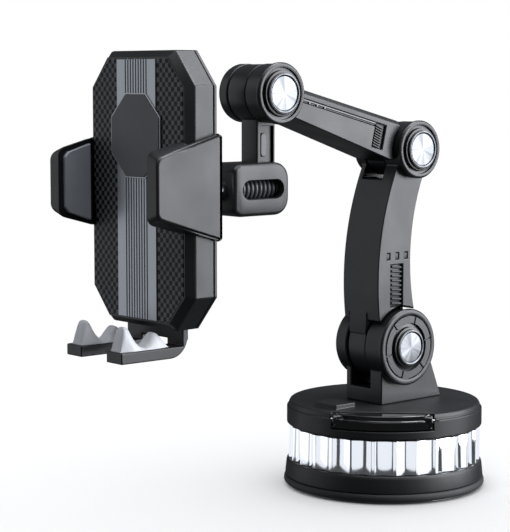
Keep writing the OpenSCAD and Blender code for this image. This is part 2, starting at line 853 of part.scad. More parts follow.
module jaw_pad() {
  slab_x(25.6, 27.78) polygon([[-143.1, 140.5], [-141.5, 142.3], [-131.5, 145.3],
    [-131.5, 116.3], [-141.5, 119.7], [-143.1, 121.7]]);
}

// Toothed arm from the jaw to past the pinion; teeth point along tooth_dir
module rack(pitch_z, tooth_dir, x_end) {
  tooth_pitch = PI * gear_m;
  back_z = pitch_z - tooth_dir * 4.4;
  root_z = pitch_z - tooth_dir * 1.2;
  z_low = min(back_z, root_z);
  z_high = max(back_z, root_z);
  block([-22, rack_y0, z_low], [x_end + 0.6, rack_y1, z_high]);
  for (i = [-7 : 1]) {
    x = (i + 0.5) * tooth_pitch;
    slab_y(rack_y0, rack_y1) polygon([[x - 0.85, root_z - tooth_dir * 0.2],
      [x + 0.85, root_z - tooth_dir * 0.2], [x + 0.25, pitch_z + tooth_dir * 0.8],
      [x - 0.25, pitch_z + tooth_dir * 0.8]]);
  }
}

module jaw_right() {
  color("#2a2b2e") jaw(gear_z - gear_pitch, 1);
}

module jaw_left() {
  color("#2a2b2e") mirror([1, 0, 0]) jaw(gear_z + gear_pitch, -1);
}

module jaw_pad_right() {
  color("#6d6f73") jaw_pad();
}

module jaw_pad_left() {
  color("#6d6f73") mirror([1, 0, 0]) jaw_pad();
}

module jaw_pinion() {
  color("#d8d6cf") difference() {
    union() {
      rod_y(rack_y0 + 0.3, rack_y1, gear_pitch - 1.25, 0, gear_z);
      for (i = [0 : gear_teeth - 1]) {
        translate([0, 0, gear_z]) rotate([0, i * 360 / gear_teeth, 0]) {
          slab_y(rack_y0 + 0.3, rack_y1) polygon([[-0.85, gear_pitch - 1.6],
            [0.85, gear_pitch - 1.6], [0.3, gear_pitch + 0.8], [-0.3, gear_pitch + 0.8]]);
        }
      }
    }
    rod_y(-130, -110, 1.9 + run, 0, gear_z);
  }
}

// Torsion spring that draws the jaws together, coiled round the pinion's post
module pinion_spring() {
  turns = 5;
  steps = 24;
  sides = 8;
  wire_r = 0.3;
  coil_r = 3.5;
  pitch = 0.75;
  y0 = -121.7;
  rings = turns * steps;
  points = [for (i = [0 : rings]) for (j = [0 : sides - 1])
    let (a = i * 360 / steps, b = j * 360 / sides, r = coil_r + wire_r * cos(b))
    [r * sin(a), y0 + i * pitch / steps + wire_r * sin(b), gear_z + r * cos(a)]];
  skin = [for (i = [0 : rings - 1]) for (j = [0 : sides - 1])
    [i * sides + j, i * sides + (j + 1) % sides, (i + 1) * sides + (j + 1) % sides,
      (i + 1) * sides + j]];
  first = [for (j = [sides - 1 : -1 : 0]) j];
  last = [for (j = [0 : sides - 1]) rings * sides + j];
  color("#b9bcc0") polyhedron(points, concat(skin, [first, last]));
}

// ---------- feet ----------

// Side outline of one foot's tray and the leg behind it, drawn in Y and Z
module foot_outline() {
  bend_r = 8;
  tray_end = foot_back - bend_r;
  difference() {
    union() {
      translate([foot_front, foot_z0]) square([tray_end - foot_front, foot_z1 - foot_z0]);
      intersection() {
        translate([tray_end, foot_z0 + bend_r]) circle(r = bend_r);
        translate([tray_end - eps, foot_z0]) square([bend_r + 1, bend_r]);
      }
      translate([foot_back - 2.5, foot_z0 + bend_r]) square([2.5, 6]);
    }
    translate([tray_end - 3, foot_z1]) square([8.5, 12]);
  }
}

module foot_carrier() {
  color("#1d1d1f") difference() {
    union() {
      for (side = [0, 1]) mirror([side, 0, 0]) slab_x(foot_x0, foot_x1) foot_outline();
      block([-foot_x1, foot_back - 2.5, 74], [foot_x1, foot_back, 118]);
    }
    block([-9, -130, 84], [9, -110, 112]);
  }
}

// Two humps along the foot with the phone's edge between them
module foot_pad() {
  slab_x(9.1, 14.8) polygon([[-148.6, foot_z1], [-146.6, 80], [-145.8, 80.8], [-144.6, 80.8],
    [-143.8, 80], [-139.2, 73.4], [-137.6, 72.9], [-136.6, 73.4], [-133.6, 77.2],
    [-132.8, 77.7], [-131.8, 77.7], [-131, 77.2], [-127.4, 73.6], [-126.6, foot_z1]]);
}

module foot_pad_right() {
  color("#c9ccd0") foot_pad();
}

module foot_pad_left() {
  color("#c9ccd0") mirror([1, 0, 0]) foot_pad();
}

gel_pad();
suction_cup();
base_housing();
fluted_ring();
suction_stem();
lift_plate();
stem_nut();
base_cover();
swivel_washer();
swivel_retainer();
retainer_screws();
lock_lever();
lever_pin();
turret_fork();
turret_screws();
lower_axle();
lower_axle_nut();
lower_washers();
lower_cap();
lower_cap_ring();
lower_cap_disc();
lower_end_cap();
lower_arm();
lower_arm_grille();
lower_arm_studs();
elbow_axle();
elbow_washers();
elbow_cap();
elbow_cap_disc();
elbow_end_cap();
upper_arm();
upper_arm_grille();
upper_arm_inlay();
wrist_axle();
wrist_washers();
wrist_cap();
wrist_cap_disc();
wrist_end_cap();
neck();
neck_key();
barrel_core();
ball_stud();
ball_liner_rear();
ball_liner_front();
socket_nut();
clamp_body();
clamp_rear_cover();
clamp_screws();
front_panel();
centre_strip();
phone_pad();
jaw_left();
jaw_right();
jaw_pad_left();
jaw_pad_right();
jaw_pinion();
pinion_spring();
foot_carrier();
foot_pad_left();
foot_pad_right();
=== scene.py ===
"""Looks of a car phone mount: suction base, swivelling turret, two-part arm, ball joint and spring clamp."""
import json
import math

import bmesh
import bpy
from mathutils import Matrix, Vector

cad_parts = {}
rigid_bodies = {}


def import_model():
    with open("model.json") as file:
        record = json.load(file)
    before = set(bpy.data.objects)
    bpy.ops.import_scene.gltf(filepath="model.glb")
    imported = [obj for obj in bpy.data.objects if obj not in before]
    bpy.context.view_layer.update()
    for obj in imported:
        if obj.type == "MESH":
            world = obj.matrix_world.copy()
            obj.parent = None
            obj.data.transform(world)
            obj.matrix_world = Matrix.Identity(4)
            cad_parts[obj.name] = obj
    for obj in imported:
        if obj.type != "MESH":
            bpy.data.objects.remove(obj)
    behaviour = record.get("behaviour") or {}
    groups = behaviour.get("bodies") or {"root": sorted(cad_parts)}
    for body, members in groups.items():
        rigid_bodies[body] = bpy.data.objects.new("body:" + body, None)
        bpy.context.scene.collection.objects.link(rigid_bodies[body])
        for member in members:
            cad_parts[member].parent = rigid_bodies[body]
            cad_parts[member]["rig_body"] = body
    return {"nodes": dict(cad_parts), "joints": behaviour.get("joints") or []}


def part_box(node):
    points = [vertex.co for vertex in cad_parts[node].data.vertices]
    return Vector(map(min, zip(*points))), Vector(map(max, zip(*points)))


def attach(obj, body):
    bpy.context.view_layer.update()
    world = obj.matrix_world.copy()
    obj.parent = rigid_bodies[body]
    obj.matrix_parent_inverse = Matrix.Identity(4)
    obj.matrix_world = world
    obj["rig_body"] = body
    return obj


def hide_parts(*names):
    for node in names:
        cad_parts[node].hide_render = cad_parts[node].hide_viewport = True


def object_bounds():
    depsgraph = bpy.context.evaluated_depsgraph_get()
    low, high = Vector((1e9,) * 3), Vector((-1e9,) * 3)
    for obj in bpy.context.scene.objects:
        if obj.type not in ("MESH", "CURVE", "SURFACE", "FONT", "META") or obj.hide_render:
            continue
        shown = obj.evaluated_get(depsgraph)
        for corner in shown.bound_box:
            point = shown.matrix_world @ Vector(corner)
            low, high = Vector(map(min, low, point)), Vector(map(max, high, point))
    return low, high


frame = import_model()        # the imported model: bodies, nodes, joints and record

cad_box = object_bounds()
MM = 0.001

# ---------- Studio ----------
# A pale seamless floor and a few large soft boxes round the mount. The strongest stands to the right of
# the arm and a little behind it, so that the flat sides shine grey while the faces to the front stay dark.


def linear(code):
    """An sRGB hex colour as linear red, green, blue and alpha."""
    parts = [int(code[i:i + 2], 16) / 255 for i in (1, 3, 5)]
    return [c / 12.92 if c <= 0.04045 else ((c + 0.055) / 1.055) ** 2.4 for c in parts] + [1.0]


def add(tree, kind, links=None, values=None, **settings):
    """Adds a node: settings are its properties, values its sockets' numbers, links what feeds them."""
    node = tree.nodes.new(kind)
    for key, value in settings.items():
        setattr(node, key, value)
    for key, value in (values or {}).items():
        node.inputs[key].default_value = value
    for key, source in (links or {}).items():
        tree.links.new(source, node.inputs[key])
    return node


def add_piece(name, mesh):
    """A mesh as an object of the scene, at the origin."""
    piece = bpy.data.objects.new(name, mesh)
    bpy.context.scene.collection.objects.link(piece)
    return piece


middle = (cad_box[0] + cad_box[1]) / 2
aim = middle + Vector((-2.6, -15.8, 6.5)) * MM
VIEW_TURN = math.radians(49.02)
VIEW_DROP = math.radians(6.01)
VIEW_DISTANCE = 0.7
LENS_MM = 120.7


def direction(turn, height):
    """The way to a place round the mount: turn from the front towards the right, height above the floor."""
    level = math.cos(height)
    return Vector((math.sin(turn) * level, -math.cos(turn) * level, math.sin(height)))


camera_data = bpy.data.cameras.new("camera")
camera_data.lens = LENS_MM
camera = bpy.data.objects.new("camera", camera_data)
camera.location = aim + direction(VIEW_TURN, VIEW_DROP) * VIEW_DISTANCE
camera.rotation_euler = (math.pi / 2 - VIEW_DROP, 0, VIEW_TURN)
bpy.context.scene.collection.objects.link(camera)
bpy.context.scene.camera = camera
bpy.context.scene.view_settings.view_transform = "Standard"

FLOOR_HALF = 6.0
floor_mesh = bpy.data.meshes.new("floor")
floor_mesh.from_pydata([(-FLOOR_HALF, -FLOOR_HALF, 0), (FLOOR_HALF, -FLOOR_HALF, 0),
                        (FLOOR_HALF, FLOOR_HALF, 0), (-FLOOR_HALF, FLOOR_HALF, 0)], [], [(0, 1, 2, 3)])
floor = add_piece("floor", floor_mesh)
floor_paint = bpy.data.materials.new("floor_paint_matt")
floor_paint.use_nodes = True
tree = floor_paint.node_tree
shader = tree.nodes["Principled BSDF"]
shader.inputs["Base Color"].default_value = linear("#f7f7f8")
shader.inputs["Roughness"].default_value = 0.9
shader.inputs["Specular IOR Level"].default_value = 0.1
# The paper of the backdrop runs out to plain white away from the mount.
place = add(tree, "ShaderNodeTexCoord")
away = add(tree, "ShaderNodeVectorMath", links={0: place.outputs["Object"]}, operation="LENGTH")
far = add(tree, "ShaderNodeMapRange", links={"Value": away.outputs["Value"]},
          values={"From Min": 0.12, "From Max": 0.6})
white = add(tree, "ShaderNodeEmission", values={"Strength": 1.0})
blend = add(tree, "ShaderNodeMixShader",
            links={0: far.outputs["Result"], 1: shader.outputs[0], 2: white.outputs[0]})
tree.links.new(blend.outputs[0], tree.nodes["Material Output"].inputs["Surface"])
floor_mesh.materials.append(floor_paint)

# The room seen directly is plain white; what it sheds on the mount is dimmer.
world = bpy.data.worlds.new("studio")
world.use_nodes = True
tree = world.node_tree
lit = add(tree, "ShaderNodeBackground", values={"Color": linear("#eef1f6"), "Strength": 0.1})
seen = add(tree, "ShaderNodeBackground", values={"Color": linear("#ffffff"), "Strength": 1.0})
ray = add(tree, "ShaderNodeLightPath")
mixed = add(tree, "ShaderNodeMixShader",
            links={0: ray.outputs["Is Camera Ray"], 1: lit.outputs[0], 2: seen.outputs[0]})
tree.links.new(mixed.outputs[0], tree.nodes["World Output"].inputs["Surface"])
bpy.context.scene.world = world

# The floor neither shows in the mount's gloss nor lights it, and each lamp is told what it reaches.
floor.visible_glossy = False
floor.visible_diffuse = False
on_floor = bpy.data.collections.new("lit as floor")
on_floor.objects.link(floor)
bright_work = bpy.data.collections.new("lit as bright work")
off_floor = bpy.data.collections.new("not the floor")
off_floor.objects.link(floor)
off_floor.collection_objects[0].light_linking.link_state = "EXCLUDE"

# Name, turn and height in degrees, distance and size in metres, watts, and what it lights. The cards light
# only the bright work, which is the plated ring and the three discs.
SOFT_BOXES = [
    ("key", 130, 14, 1.0, 0.9, 20, off_floor),
    ("top", 70, 82, 1.1, 1.0, 9, off_floor),
    ("rim", 146, 62, 1.0, 0.5, 7, off_floor),
    ("fill", -49, 8, 1.3, 1.5, 4.5, off_floor),
    ("card right", 110, 2, 0.8, 1.0, 4.0, bright_work),
    ("card front", 44, 2, 0.9, 1.0, 3.2, bright_work),
    ("card left", -28, 2, 0.8, 0.9, 2.6, bright_work),
    ("card far left", -100, 2, 0.8, 0.9, 2.6, bright_work),
    ("card back", 190, 2, 0.8, 0.9, 2.6, bright_work)]
for name, turn, height, distance, size, watts, only in SOFT_BOXES:
    way = direction(math.radians(turn), math.radians(height))
    lamp = bpy.data.lights.new(name, "AREA")
    lamp.shape = "SQUARE"
    lamp.size = size
    lamp.energy = watts
    lamp.color = linear("#f8faff")[:3]
    box = bpy.data.objects.new(name, lamp)
    box.location = middle + way * distance
    box.rotation_euler = way.to_track_quat("Z", "Y").to_euler()
    box.light_linking.receiver_collection = only
    bpy.context.scene.collection.objects.link(box)
# The floor has its own wide light from above, which leaves only a soft shadow close round the base.
sky = bpy.data.lights.new("floor light", "SUN")
sky.energy = 3.3
sky.angle = math.radians(165)
sky_object = bpy.data.objects.new("floor light", sky)
sky_object.light_linking.receiver_collection = on_floor
bpy.context.scene.collection.objects.link(sky_object)

# ---------- Suction cup with its gel disc ----------
# The cup is moulded nitrile rubber with a round lip and a socket for the stem's head. A tacky clear-grey
# TPU gel disc is bonded under it.


def surface(name, code, roughness, metallic=0.0, **sockets):
    """A material whose shader has these even values. Returns it with its shader and its places in mm."""
    material = bpy.data.materials.new(name)
    material.use_nodes = True
    tree = material.node_tree
    shader = tree.nodes["Principled BSDF"]
    shader.inputs["Base Color"].default_value = linear(code)
    shader.inputs["Roughness"].default_value = roughness
    shader.inputs["Metallic"].default_value = metallic
    for socket, value in sockets.items():
        shader.inputs[socket.replace("_", " ")].default_value = value
    own = add(tree, "ShaderNodeTexCoord")
    places = add(tree, "ShaderNodeVectorMath", links={0: own.outputs["Object"]},
                 values={"Scale": 1 / MM}, operation="SCALE")
    return material, shader, places.outputs["Vector"]


def noise(tree, places, size, detail=2.0):
    """Cloudy noise whose lumps are size mm across."""
    made = add(tree, "ShaderNodeTexNoise", links={"Vector": places},
               values={"Scale": 1 / size, "Detail": detail})
    return made.outputs["Fac"]


def relief(tree, shader, height, depth):
    """Raises the surface by depth mm where height goes from 0 to 1."""
    made = add(tree, "ShaderNodeBump", links={"Height": height}, values={"Distance": depth * MM})
    tree.links.new(made.outputs["Normal"], shader.inputs["Normal"])


DRIFT_MM = 14.0


def moulded(name, code, roughness, grain, depth, uneven=0.05, **sockets):
    """A moulded skin: fine grain in its height, and a gloss and shade that drift over a few centimetres."""
    material, shader, places = surface(name, code, roughness, **sockets)
    tree = material.node_tree
    relief(tree, shader, noise(tree, places, grain), depth)
    drift = noise(tree, places, DRIFT_MM)
    gloss = add(tree, "ShaderNodeMapRange", links={"Value": drift},
                values={"From Min": 0.3, "From Max": 0.7,
                        "To Min": roughness - uneven, "To Max": roughness + uneven})
    tree.links.new(gloss.outputs["Result"], shader.inputs["Roughness"])
    base = linear(code)
    shade = add(tree, "ShaderNodeMix", links={"Factor": drift}, data_type="RGBA")
    shade.inputs[6].default_value = [c * 0.9 for c in base[:3]] + [1.0]
    shade.inputs[7].default_value = [c * 1.1 for c in base[:3]] + [1.0]
    tree.links.new(shade.outputs[2], shader.inputs["Base Color"])
    return material


def rounded(points, radius, steps=3):
    """A closed outline with each corner rounded; a corner on the turning axis stays."""
    side_share = 0.45  # of a short side, so that its two roundings stay apart
    made = []
    count = len(points)
    for i, corner in enumerate(points):
        before, after = points[i - 1], points[(i + 1) % count]
        if corner[0] == 0:
            made.append(tuple(corner))
            continue
        corner, before, after = Vector(corner), Vector(before), Vector(after)
        shorter = min((before - corner).length, (after - corner).length)
        reach = min(radius, side_share * shorter)
        start = corner + (before - corner).normalized() * reach
        end = corner + (after - corner).normalized() * reach
        for k in range(steps + 1):
            t = k / steps
            made.append(tuple(start * (1 - t) ** 2 + corner * 2 * t * (1 - t) + end * t ** 2))
    return made


def shade(mesh, angle=32):
    """Smooth shading with creases where faces meet at more than this angle."""
    mesh.shade_smooth()
    mesh.set_sharp_from_angle(angle=math.radians(angle))


def finished(work, name):
    """What has been built in work, as a mesh of this name."""
    mesh = bpy.data.meshes.new(name)
    work.to_mesh(mesh)
    work.free()
    return mesh


AXES = {"X": lambda a, b, h: (h, a, b), "Y": lambda a, b, h: (b, h, a), "Z": lambda a, b, h: (a, b, h)}


def spun(name, profile, axis, centre, steps=144):
    """A closed profile of (radius, height) in mm turned round an axis through centre."""
    work = bmesh.new()
    rings = []
    for radius, height in profile:
        turns = [0] if radius == 0 else range(steps)
        angles = [2 * math.pi * k / steps for k in turns]
        places = [AXES[axis](radius * math.cos(a), radius * math.sin(a), height) for a in angles]
        rings.append([work.verts.new(Vector(place) * MM + Vector(centre)) for place in places])
    for i, ring in enumerate(rings):
        other = rings[(i + 1) % len(rings)]
        if len(ring) == 1 and len(other) == 1:
            continue
        for k in range(steps):
            corners = [ring[k % len(ring)], ring[(k + 1) % len(ring)],
                       other[(k + 1) % len(other)], other[k % len(other)]]
            work.faces.new(list(dict.fromkeys(corners)))
    bmesh.ops.recalc_face_normals(work, faces=work.faces)
    mesh = finished(work, name)
    shade(mesh)
    return add_piece(name, mesh)


def dress(piece, material, slot, body, *nodes):
    """Gives a piece its material, and lets it ride on a body in the place of CAD nodes. slot is not used."""
    piece.data.materials.clear()
    piece.data.materials.append(material)
    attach(piece, body)
    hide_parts(*nodes)


# nitrile rubber, moulded: dull and nearly black, with a faint bloom
rubber = moulded("nitrile_rubber_moulded", "#17181a", 0.62, 0.6, 0.02, Sheen_Weight=0.08, Sheen_Roughness=0.5)
# TPU gel, cast: wet-looking grey
gel = moulded("tpu_gel_cast", "#5b6064", 0.18, 2.5, 0.02, uneven=0.02, Coat_Weight=0.4)

LIP_ROUND = 0.7
LIP_TALL = 3.4
DOME_R, DOME_TOP = 14, 8.4      # where the cup's roof becomes level
TURRET_R = 9                    # the boss on the roof
THROAT_R = 4.3                  # the hole that the stem comes through
HEAD_R, HEAD_LOW, HEAD_TOP = 6.8, 5.9, 10.7  # the socket round the stem's head
low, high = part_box("suction_cup")
cup_r = high.x / MM
lip_low, boss_top = low.z / MM, high.z / MM
cup_profile = [(0, lip_low), (cup_r - 2.0, lip_low), (cup_r - 0.7, lip_low + 0.2), (cup_r, lip_low + 0.9),
               (cup_r, lip_low + 2.3), (cup_r - 0.6, lip_low + LIP_TALL), (cup_r - 5.4, lip_low + LIP_TALL),
               (cup_r - 5.8, 6.6), (DOME_R, DOME_TOP), (TURRET_R, DOME_TOP), (TURRET_R, boss_top),
               (THROAT_R, boss_top), (THROAT_R, HEAD_TOP), (HEAD_R, HEAD_TOP), (HEAD_R, HEAD_LOW),
               (0, HEAD_LOW)]
dress(spun("rubber_cup", rounded(cup_profile, LIP_ROUND, 4), "Z", (0, 0, 0)), rubber, "rubber_black", "base",
      "suction_cup")
low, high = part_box("gel_pad")
gel_profile = [(0, low.z / MM), (high.x / MM, low.z / MM), (high.x / MM, high.z / MM), (0, high.z / MM)]
dress(spun("gel_disc", rounded(gel_profile, 0.25), "Z", (0, 0, 0)), gel, "gel", "base", "gel_pad")

# ---------- Base housing ----------
# One ABS moulding: the flared skirt over the lip, the wall inside the plated ring, and the stem's guide.
# The cover hooks over the wall's inward rim and turns on it.

# ABS, moulded in a spark-eroded tool: charcoal black, fine even grain
black_abs = moulded("abs_black_moulded", "#17181a", 0.46, 0.45, 0.006)
low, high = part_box("base_housing")
skirt_r, skirt_low, flange_top = high.x / MM, low.z / MM, high.z / MM
ring_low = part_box("fluted_ring")[0].z / MM
SKIRT_THICK = 4.6
WALL_R, WALL_BORE_R = 37.4, 36
RIM_BORE_R, RIM_LOW = 34.4, 24
DECK_LOW, DECK_TOP = 9.5, 11.6
BOSS_R, BOSS_TOP = 11.5, 15
GUIDE_R, GUIDE_BORE_R, GUIDE_TOP = 7, 4.05, 19
POCKET_R, POCKET_TOP = 9.4, 13.2  # room over the cup's boss
skirt_in, seat_z = skirt_r - SKIRT_THICK, ring_low - 0.1
housing_profile = [(skirt_in, skirt_low), (skirt_r, skirt_low), (skirt_r - 0.6, seat_z - 1),
                   (skirt_r - 1.1, seat_z), (WALL_R, seat_z), (WALL_R, flange_top), (RIM_BORE_R, flange_top),
                   (RIM_BORE_R, RIM_LOW), (WALL_BORE_R, RIM_LOW), (WALL_BORE_R, DECK_TOP), (BOSS_R, DECK_TOP),
                   (BOSS_R, BOSS_TOP), (GUIDE_R, BOSS_TOP), (GUIDE_R, GUIDE_TOP), (GUIDE_BORE_R, GUIDE_TOP),
                   (GUIDE_BORE_R, POCKET_TOP), (POCKET_R, POCKET_TOP), (POCKET_R, DECK_LOW),
                   (skirt_in, DECK_LOW)]
dress(spun("base_skirt", rounded(housing_profile, 0.4), "Z", (0, 0, 0)), black_abs, "abs_black", "base",
      "base_housing")

# ---------- Fluted ring ----------
# A chrome-plated ABS trim ring, moulded with 28 shallow concave flutes and pushed over the housing's wall.
# Narrow lands between the flutes catch the light as bright lines.

FLUTES = 28
LAND_SHARE = 0.125      # of a flute's pitch
STEPS_PER_FLUTE = 32


def new_shape(name, **inputs):
    """An empty Geometry Nodes tree with a material and these named inputs, each given with its type."""
    tree = bpy.data.node_groups.new(name, "GeometryNodeTree")
    for label, kind in {"Material": "Material", **inputs}.items():
        tree.interface.new_socket(label, in_out="INPUT", socket_type="NodeSocket" + kind)
    tree.interface.new_socket("Geometry", in_out="OUTPUT", socket_type="NodeSocketGeometry")
    return tree, add(tree, "NodeGroupInput")


def close_shape(tree, inputs, geometry):
    """Ends a tree: real geometry, smooth faces and the material."""
    real = add(tree, "GeometryNodeRealizeInstances", links={0: geometry})
    coated = add(tree, "GeometryNodeSetMaterial",
                 links={"Geometry": real.outputs[0], "Material": inputs.outputs["Material"]})
    add(tree, "NodeGroupOutput", links={0: coated.outputs[0]})


def grown(name, tree, **sizes):
    """Runs a tree once with these sizes and keeps its result as a plain mesh."""
    piece = add_piece(name, bpy.data.meshes.new(name))
    maker = piece.modifiers.new("maker", "NODES")
    maker.node_group = tree
    for socket in tree.interface.items_tree:
        if socket.in_out == "INPUT" and socket.name in sizes:
            maker[socket.identifier] = sizes[socket.name]
    graph = bpy.context.evaluated_depsgraph_get()
    mesh = bpy.data.meshes.new_from_object(piece.evaluated_get(graph))
    piece.modifiers.remove(maker)
    piece.data = mesh
    work = bmesh.new()
    work.from_mesh(mesh)
    bmesh.ops.remove_doubles(work, verts=work.verts, dist=0.0005 * MM)
    bmesh.ops.recalc_face_normals(work, faces=work.faces)
    work.to_mesh(mesh)
    work.free()
    shade(mesh)
    return piece


# ABS, chrome plated: bright, with the slightest ripple under the plating
chrome, chrome_shader, chrome_places = surface("abs_chrome_plated", "#e6e9ed", 0.09, 1.0)
relief(chrome.node_tree, chrome_shader, noise(chrome.node_tree, chrome_places, 5.0, 1.0), 0.01)

flutes, given = new_shape("flutes", Inner="Float", Outer="Float", Low="Float", High="Float", Depth="Float",
                          Count="Int", Edge="Float")
total_r = add(flutes, "ShaderNodeMath", links={0: given.outputs["Outer"], 1: given.outputs["Inner"]},
              operation="ADD")
mid_r = add(flutes, "ShaderNodeMath", links={0: total_r.outputs[0]}, values={1: 0.5}, operation="MULTIPLY")
wall = add(flutes, "ShaderNodeMath", links={0: given.outputs["Outer"], 1: given.outputs["Inner"]},
           operation="SUBTRACT")
tall = add(flutes, "ShaderNodeMath", links={0: given.outputs["High"], 1: given.outputs["Low"]},
           operation="SUBTRACT")
total_z = add(flutes, "ShaderNodeMath", links={0: given.outputs["High"], 1: given.outputs["Low"]},
              operation="ADD")
mid_z = add(flutes, "ShaderNodeMath", links={0: total_z.outputs[0]}, values={1: 0.5}, operation="MULTIPLY")
points = add(flutes, "ShaderNodeMath", links={0: given.outputs["Count"]}, values={1: STEPS_PER_FLUTE},
             operation="MULTIPLY")
path = add(flutes, "GeometryNodeCurvePrimitiveCircle",
           links={"Resolution": points.outputs[0], "Radius": mid_r.outputs[0]})
upright = add(flutes, "GeometryNodeSetCurveNormal", links={"Curve": path.outputs[0]}, mode="Z_UP")
section = add(flutes, "GeometryNodeCurvePrimitiveQuadrilateral",
              links={"Width": wall.outputs[0], "Height": tall.outputs[0]})
soft = add(flutes, "GeometryNodeFilletCurve",
           links={"Curve": section.outputs[0], "Radius": given.outputs["Edge"]}, values={"Count": 3},
           mode="POLY")
swept = add(flutes, "GeometryNodeCurveToMesh",
            links={"Curve": upright.outputs[0], "Profile Curve": soft.outputs[0]})
spot = add(flutes, "GeometryNodeInputPosition")
parts = add(flutes, "ShaderNodeSeparateXYZ", links={0: spot.outputs[0]})
bearing = add(flutes, "ShaderNodeMath", links={0: parts.outputs["Y"], 1: parts.outputs["X"]},
              operation="ARCTAN2")
share = add(flutes, "ShaderNodeMath", links={0: bearing.outputs[0]}, values={1: 2 * math.pi},
            operation="DIVIDE")
turn = add(flutes, "ShaderNodeMath", links={0: share.outputs[0], 1: given.outputs["Count"]},
           operation="MULTIPLY")
phase = add(flutes, "ShaderNodeMath", links={0: turn.outputs[0]}, operation="FRACT")
# from -1 to 1 across one hollow, beyond that on the land between two
across = add(flutes, "ShaderNodeMapRange", links={"Value": phase.outputs[0]},
             values={"From Min": LAND_SHARE / 2, "From Max": 1 - LAND_SHARE / 2,
                     "To Min": -1.0, "To Max": 1.0}, clamp=False)
bent = add(flutes, "ShaderNodeMath", links={0: across.outputs["Result"], 1: across.outputs["Result"]},
           operation="MULTIPLY")
hollow = add(flutes, "ShaderNodeMath", links={1: bent.outputs[0]}, values={0: 1.0}, operation="SUBTRACT",
             use_clamp=True)
scoop = add(flutes, "ShaderNodeMath", links={0: hollow.outputs[0], 1: given.outputs["Depth"]},
            operation="MULTIPLY")
flat = add(flutes, "ShaderNodeVectorMath", links={0: spot.outputs[0]}, values={1: (1.0, 1.0, 0.0)},
           operation="MULTIPLY")
radius = add(flutes, "ShaderNodeVectorMath", links={0: flat.outputs["Vector"]}, operation="LENGTH")
outside = add(flutes, "ShaderNodeMath", links={0: radius.outputs["Value"], 1: mid_r.outputs[0]},
              operation="GREATER_THAN")
outward = add(flutes, "ShaderNodeVectorMath", links={0: flat.outputs["Vector"]}, operation="NORMALIZE")
amount = add(flutes, "ShaderNodeMath", links={0: scoop.outputs[0]}, values={1: -1.0}, operation="MULTIPLY")
shift = add(flutes, "ShaderNodeVectorMath", links={0: outward.outputs["Vector"], "Scale": amount.outputs[0]},
            operation="SCALE")
scooped = add(flutes, "GeometryNodeSetPosition",
              links={"Geometry": swept.outputs[0], "Selection": outside.outputs[0],
                     "Offset": shift.outputs["Vector"]})
lift = add(flutes, "ShaderNodeCombineXYZ", links={"Z": mid_z.outputs[0]})
lifted = add(flutes, "GeometryNodeTransform", links={0: scooped.outputs[0], "Translation": lift.outputs[0]})
close_shape(flutes, given, lifted.outputs[0])
low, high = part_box("fluted_ring")
plated = grown("plated_ring", flutes, Material=chrome, Inner=37.5 * MM, Outer=high.x, Low=low.z, High=high.z,
               Depth=0.9 * MM, Count=FLUTES, Edge=0.35 * MM)
dress(plated, chrome, "plated_ring", "base", "fluted_ring")
bright_work.objects.link(plated)

# ---------- Suction stem, lift plate and swivel fixings ----------
# A white acetal stem pulls the cup's middle up through a steel plate and nut. An acetal washer and a steel
# retainer with four screws let the turret turn on the base.


WELD = 0.002 * MM
FLAT_WITHIN = math.radians(0.6)  # facets that meet at less than this are one flat face


def eased(node, material, slot, width=0.25, steps=2, angle=30, share=None):
    """The node's own shape with its sharp edges eased, as a mould or a deburring leaves them.

    share gives the part of the width that a point gets, for a node that has fine teeth or thin walls.
    """
    mesh = frame["nodes"][node].data.copy()
    work = bmesh.new()
    work.from_mesh(mesh)
    bmesh.ops.remove_doubles(work, verts=work.verts, dist=WELD)
    bmesh.ops.dissolve_limit(work, angle_limit=FLAT_WITHIN, verts=work.verts, edges=work.edges)
    if share:
        weight = work.edges.layers.float.new("bevel_weight_edge")
        for edge in work.edges:
            if edge.calc_face_angle(0) > math.radians(angle):
                edge[weight] = min(share(vert.co) for vert in edge.verts)
    work.to_mesh(mesh)
    work.free()
    if "custom_normal" in mesh.attributes:
        mesh.attributes.remove(mesh.attributes["custom_normal"])
    mesh.shade_smooth()
    piece = add_piece(node + "_eased", mesh)
    bevel = piece.modifiers.new("edges", "BEVEL")
    bevel.width = width * MM
    bevel.segments = steps
    bevel.limit_method = "WEIGHT" if share else "ANGLE"
    bevel.angle_limit = math.radians(angle)
    bevel.use_clamp_overlap = False
    bevel.harden_normals = True
    dress(piece, material, slot, frame["nodes"][node]["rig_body"], node)


# acetal, moulded: waxy white
acetal = moulded("acetal_white_moulded", "#e3e3dd", 0.34, 0.8, 0.004, Subsurface_Weight=0.1,
                 Subsurface_Scale=0.002)
# steel, stamped and zinc plated: bluish silver with cloudy crystals
zinc, zinc_shader, zinc_places = surface("steel_zinc_plated", "#a9adb0", 0.34, 1.0)
relief(zinc.node_tree, zinc_shader, noise(zinc.node_tree, zinc_places, 0.7), 0.006)
eased("suction_stem", acetal, "pom_white", 0.2)
eased("lift_plate", zinc, "steel", 0.12)
eased("stem_nut", zinc, "steel", 0.15)
eased("swivel_washer", acetal, "pom_white", 0.1)
eased("swivel_retainer", zinc, "steel", 0.03)
eased("retainer_screws", zinc, "steel", 0.12)

# ---------- Turning cover and suction lever ----------
# The cover is one ABS moulding that turns on the housing. The polished ABS lever lies in its edge, swings on
# a steel pin and lifts the plate with its nose.

# ABS, moulded in a polished tool: piano black with a faint orange peel
polished = moulded("abs_black_polished", "#0c0c0d", 0.12, 3.0, 0.004, uneven=0.03, Coat_Weight=0.5)
eased("base_cover", black_abs, "abs_black", 0.45, 3)
eased("lock_lever", polished, "gloss_black", 0.45, 4)
eased("lever_pin", zinc, "steel", 0.1)

# ---------- Turret ----------
# The ABS fork that carries the arm stands on the cover's raised block. Four self-tapping screws hold it from
# below.

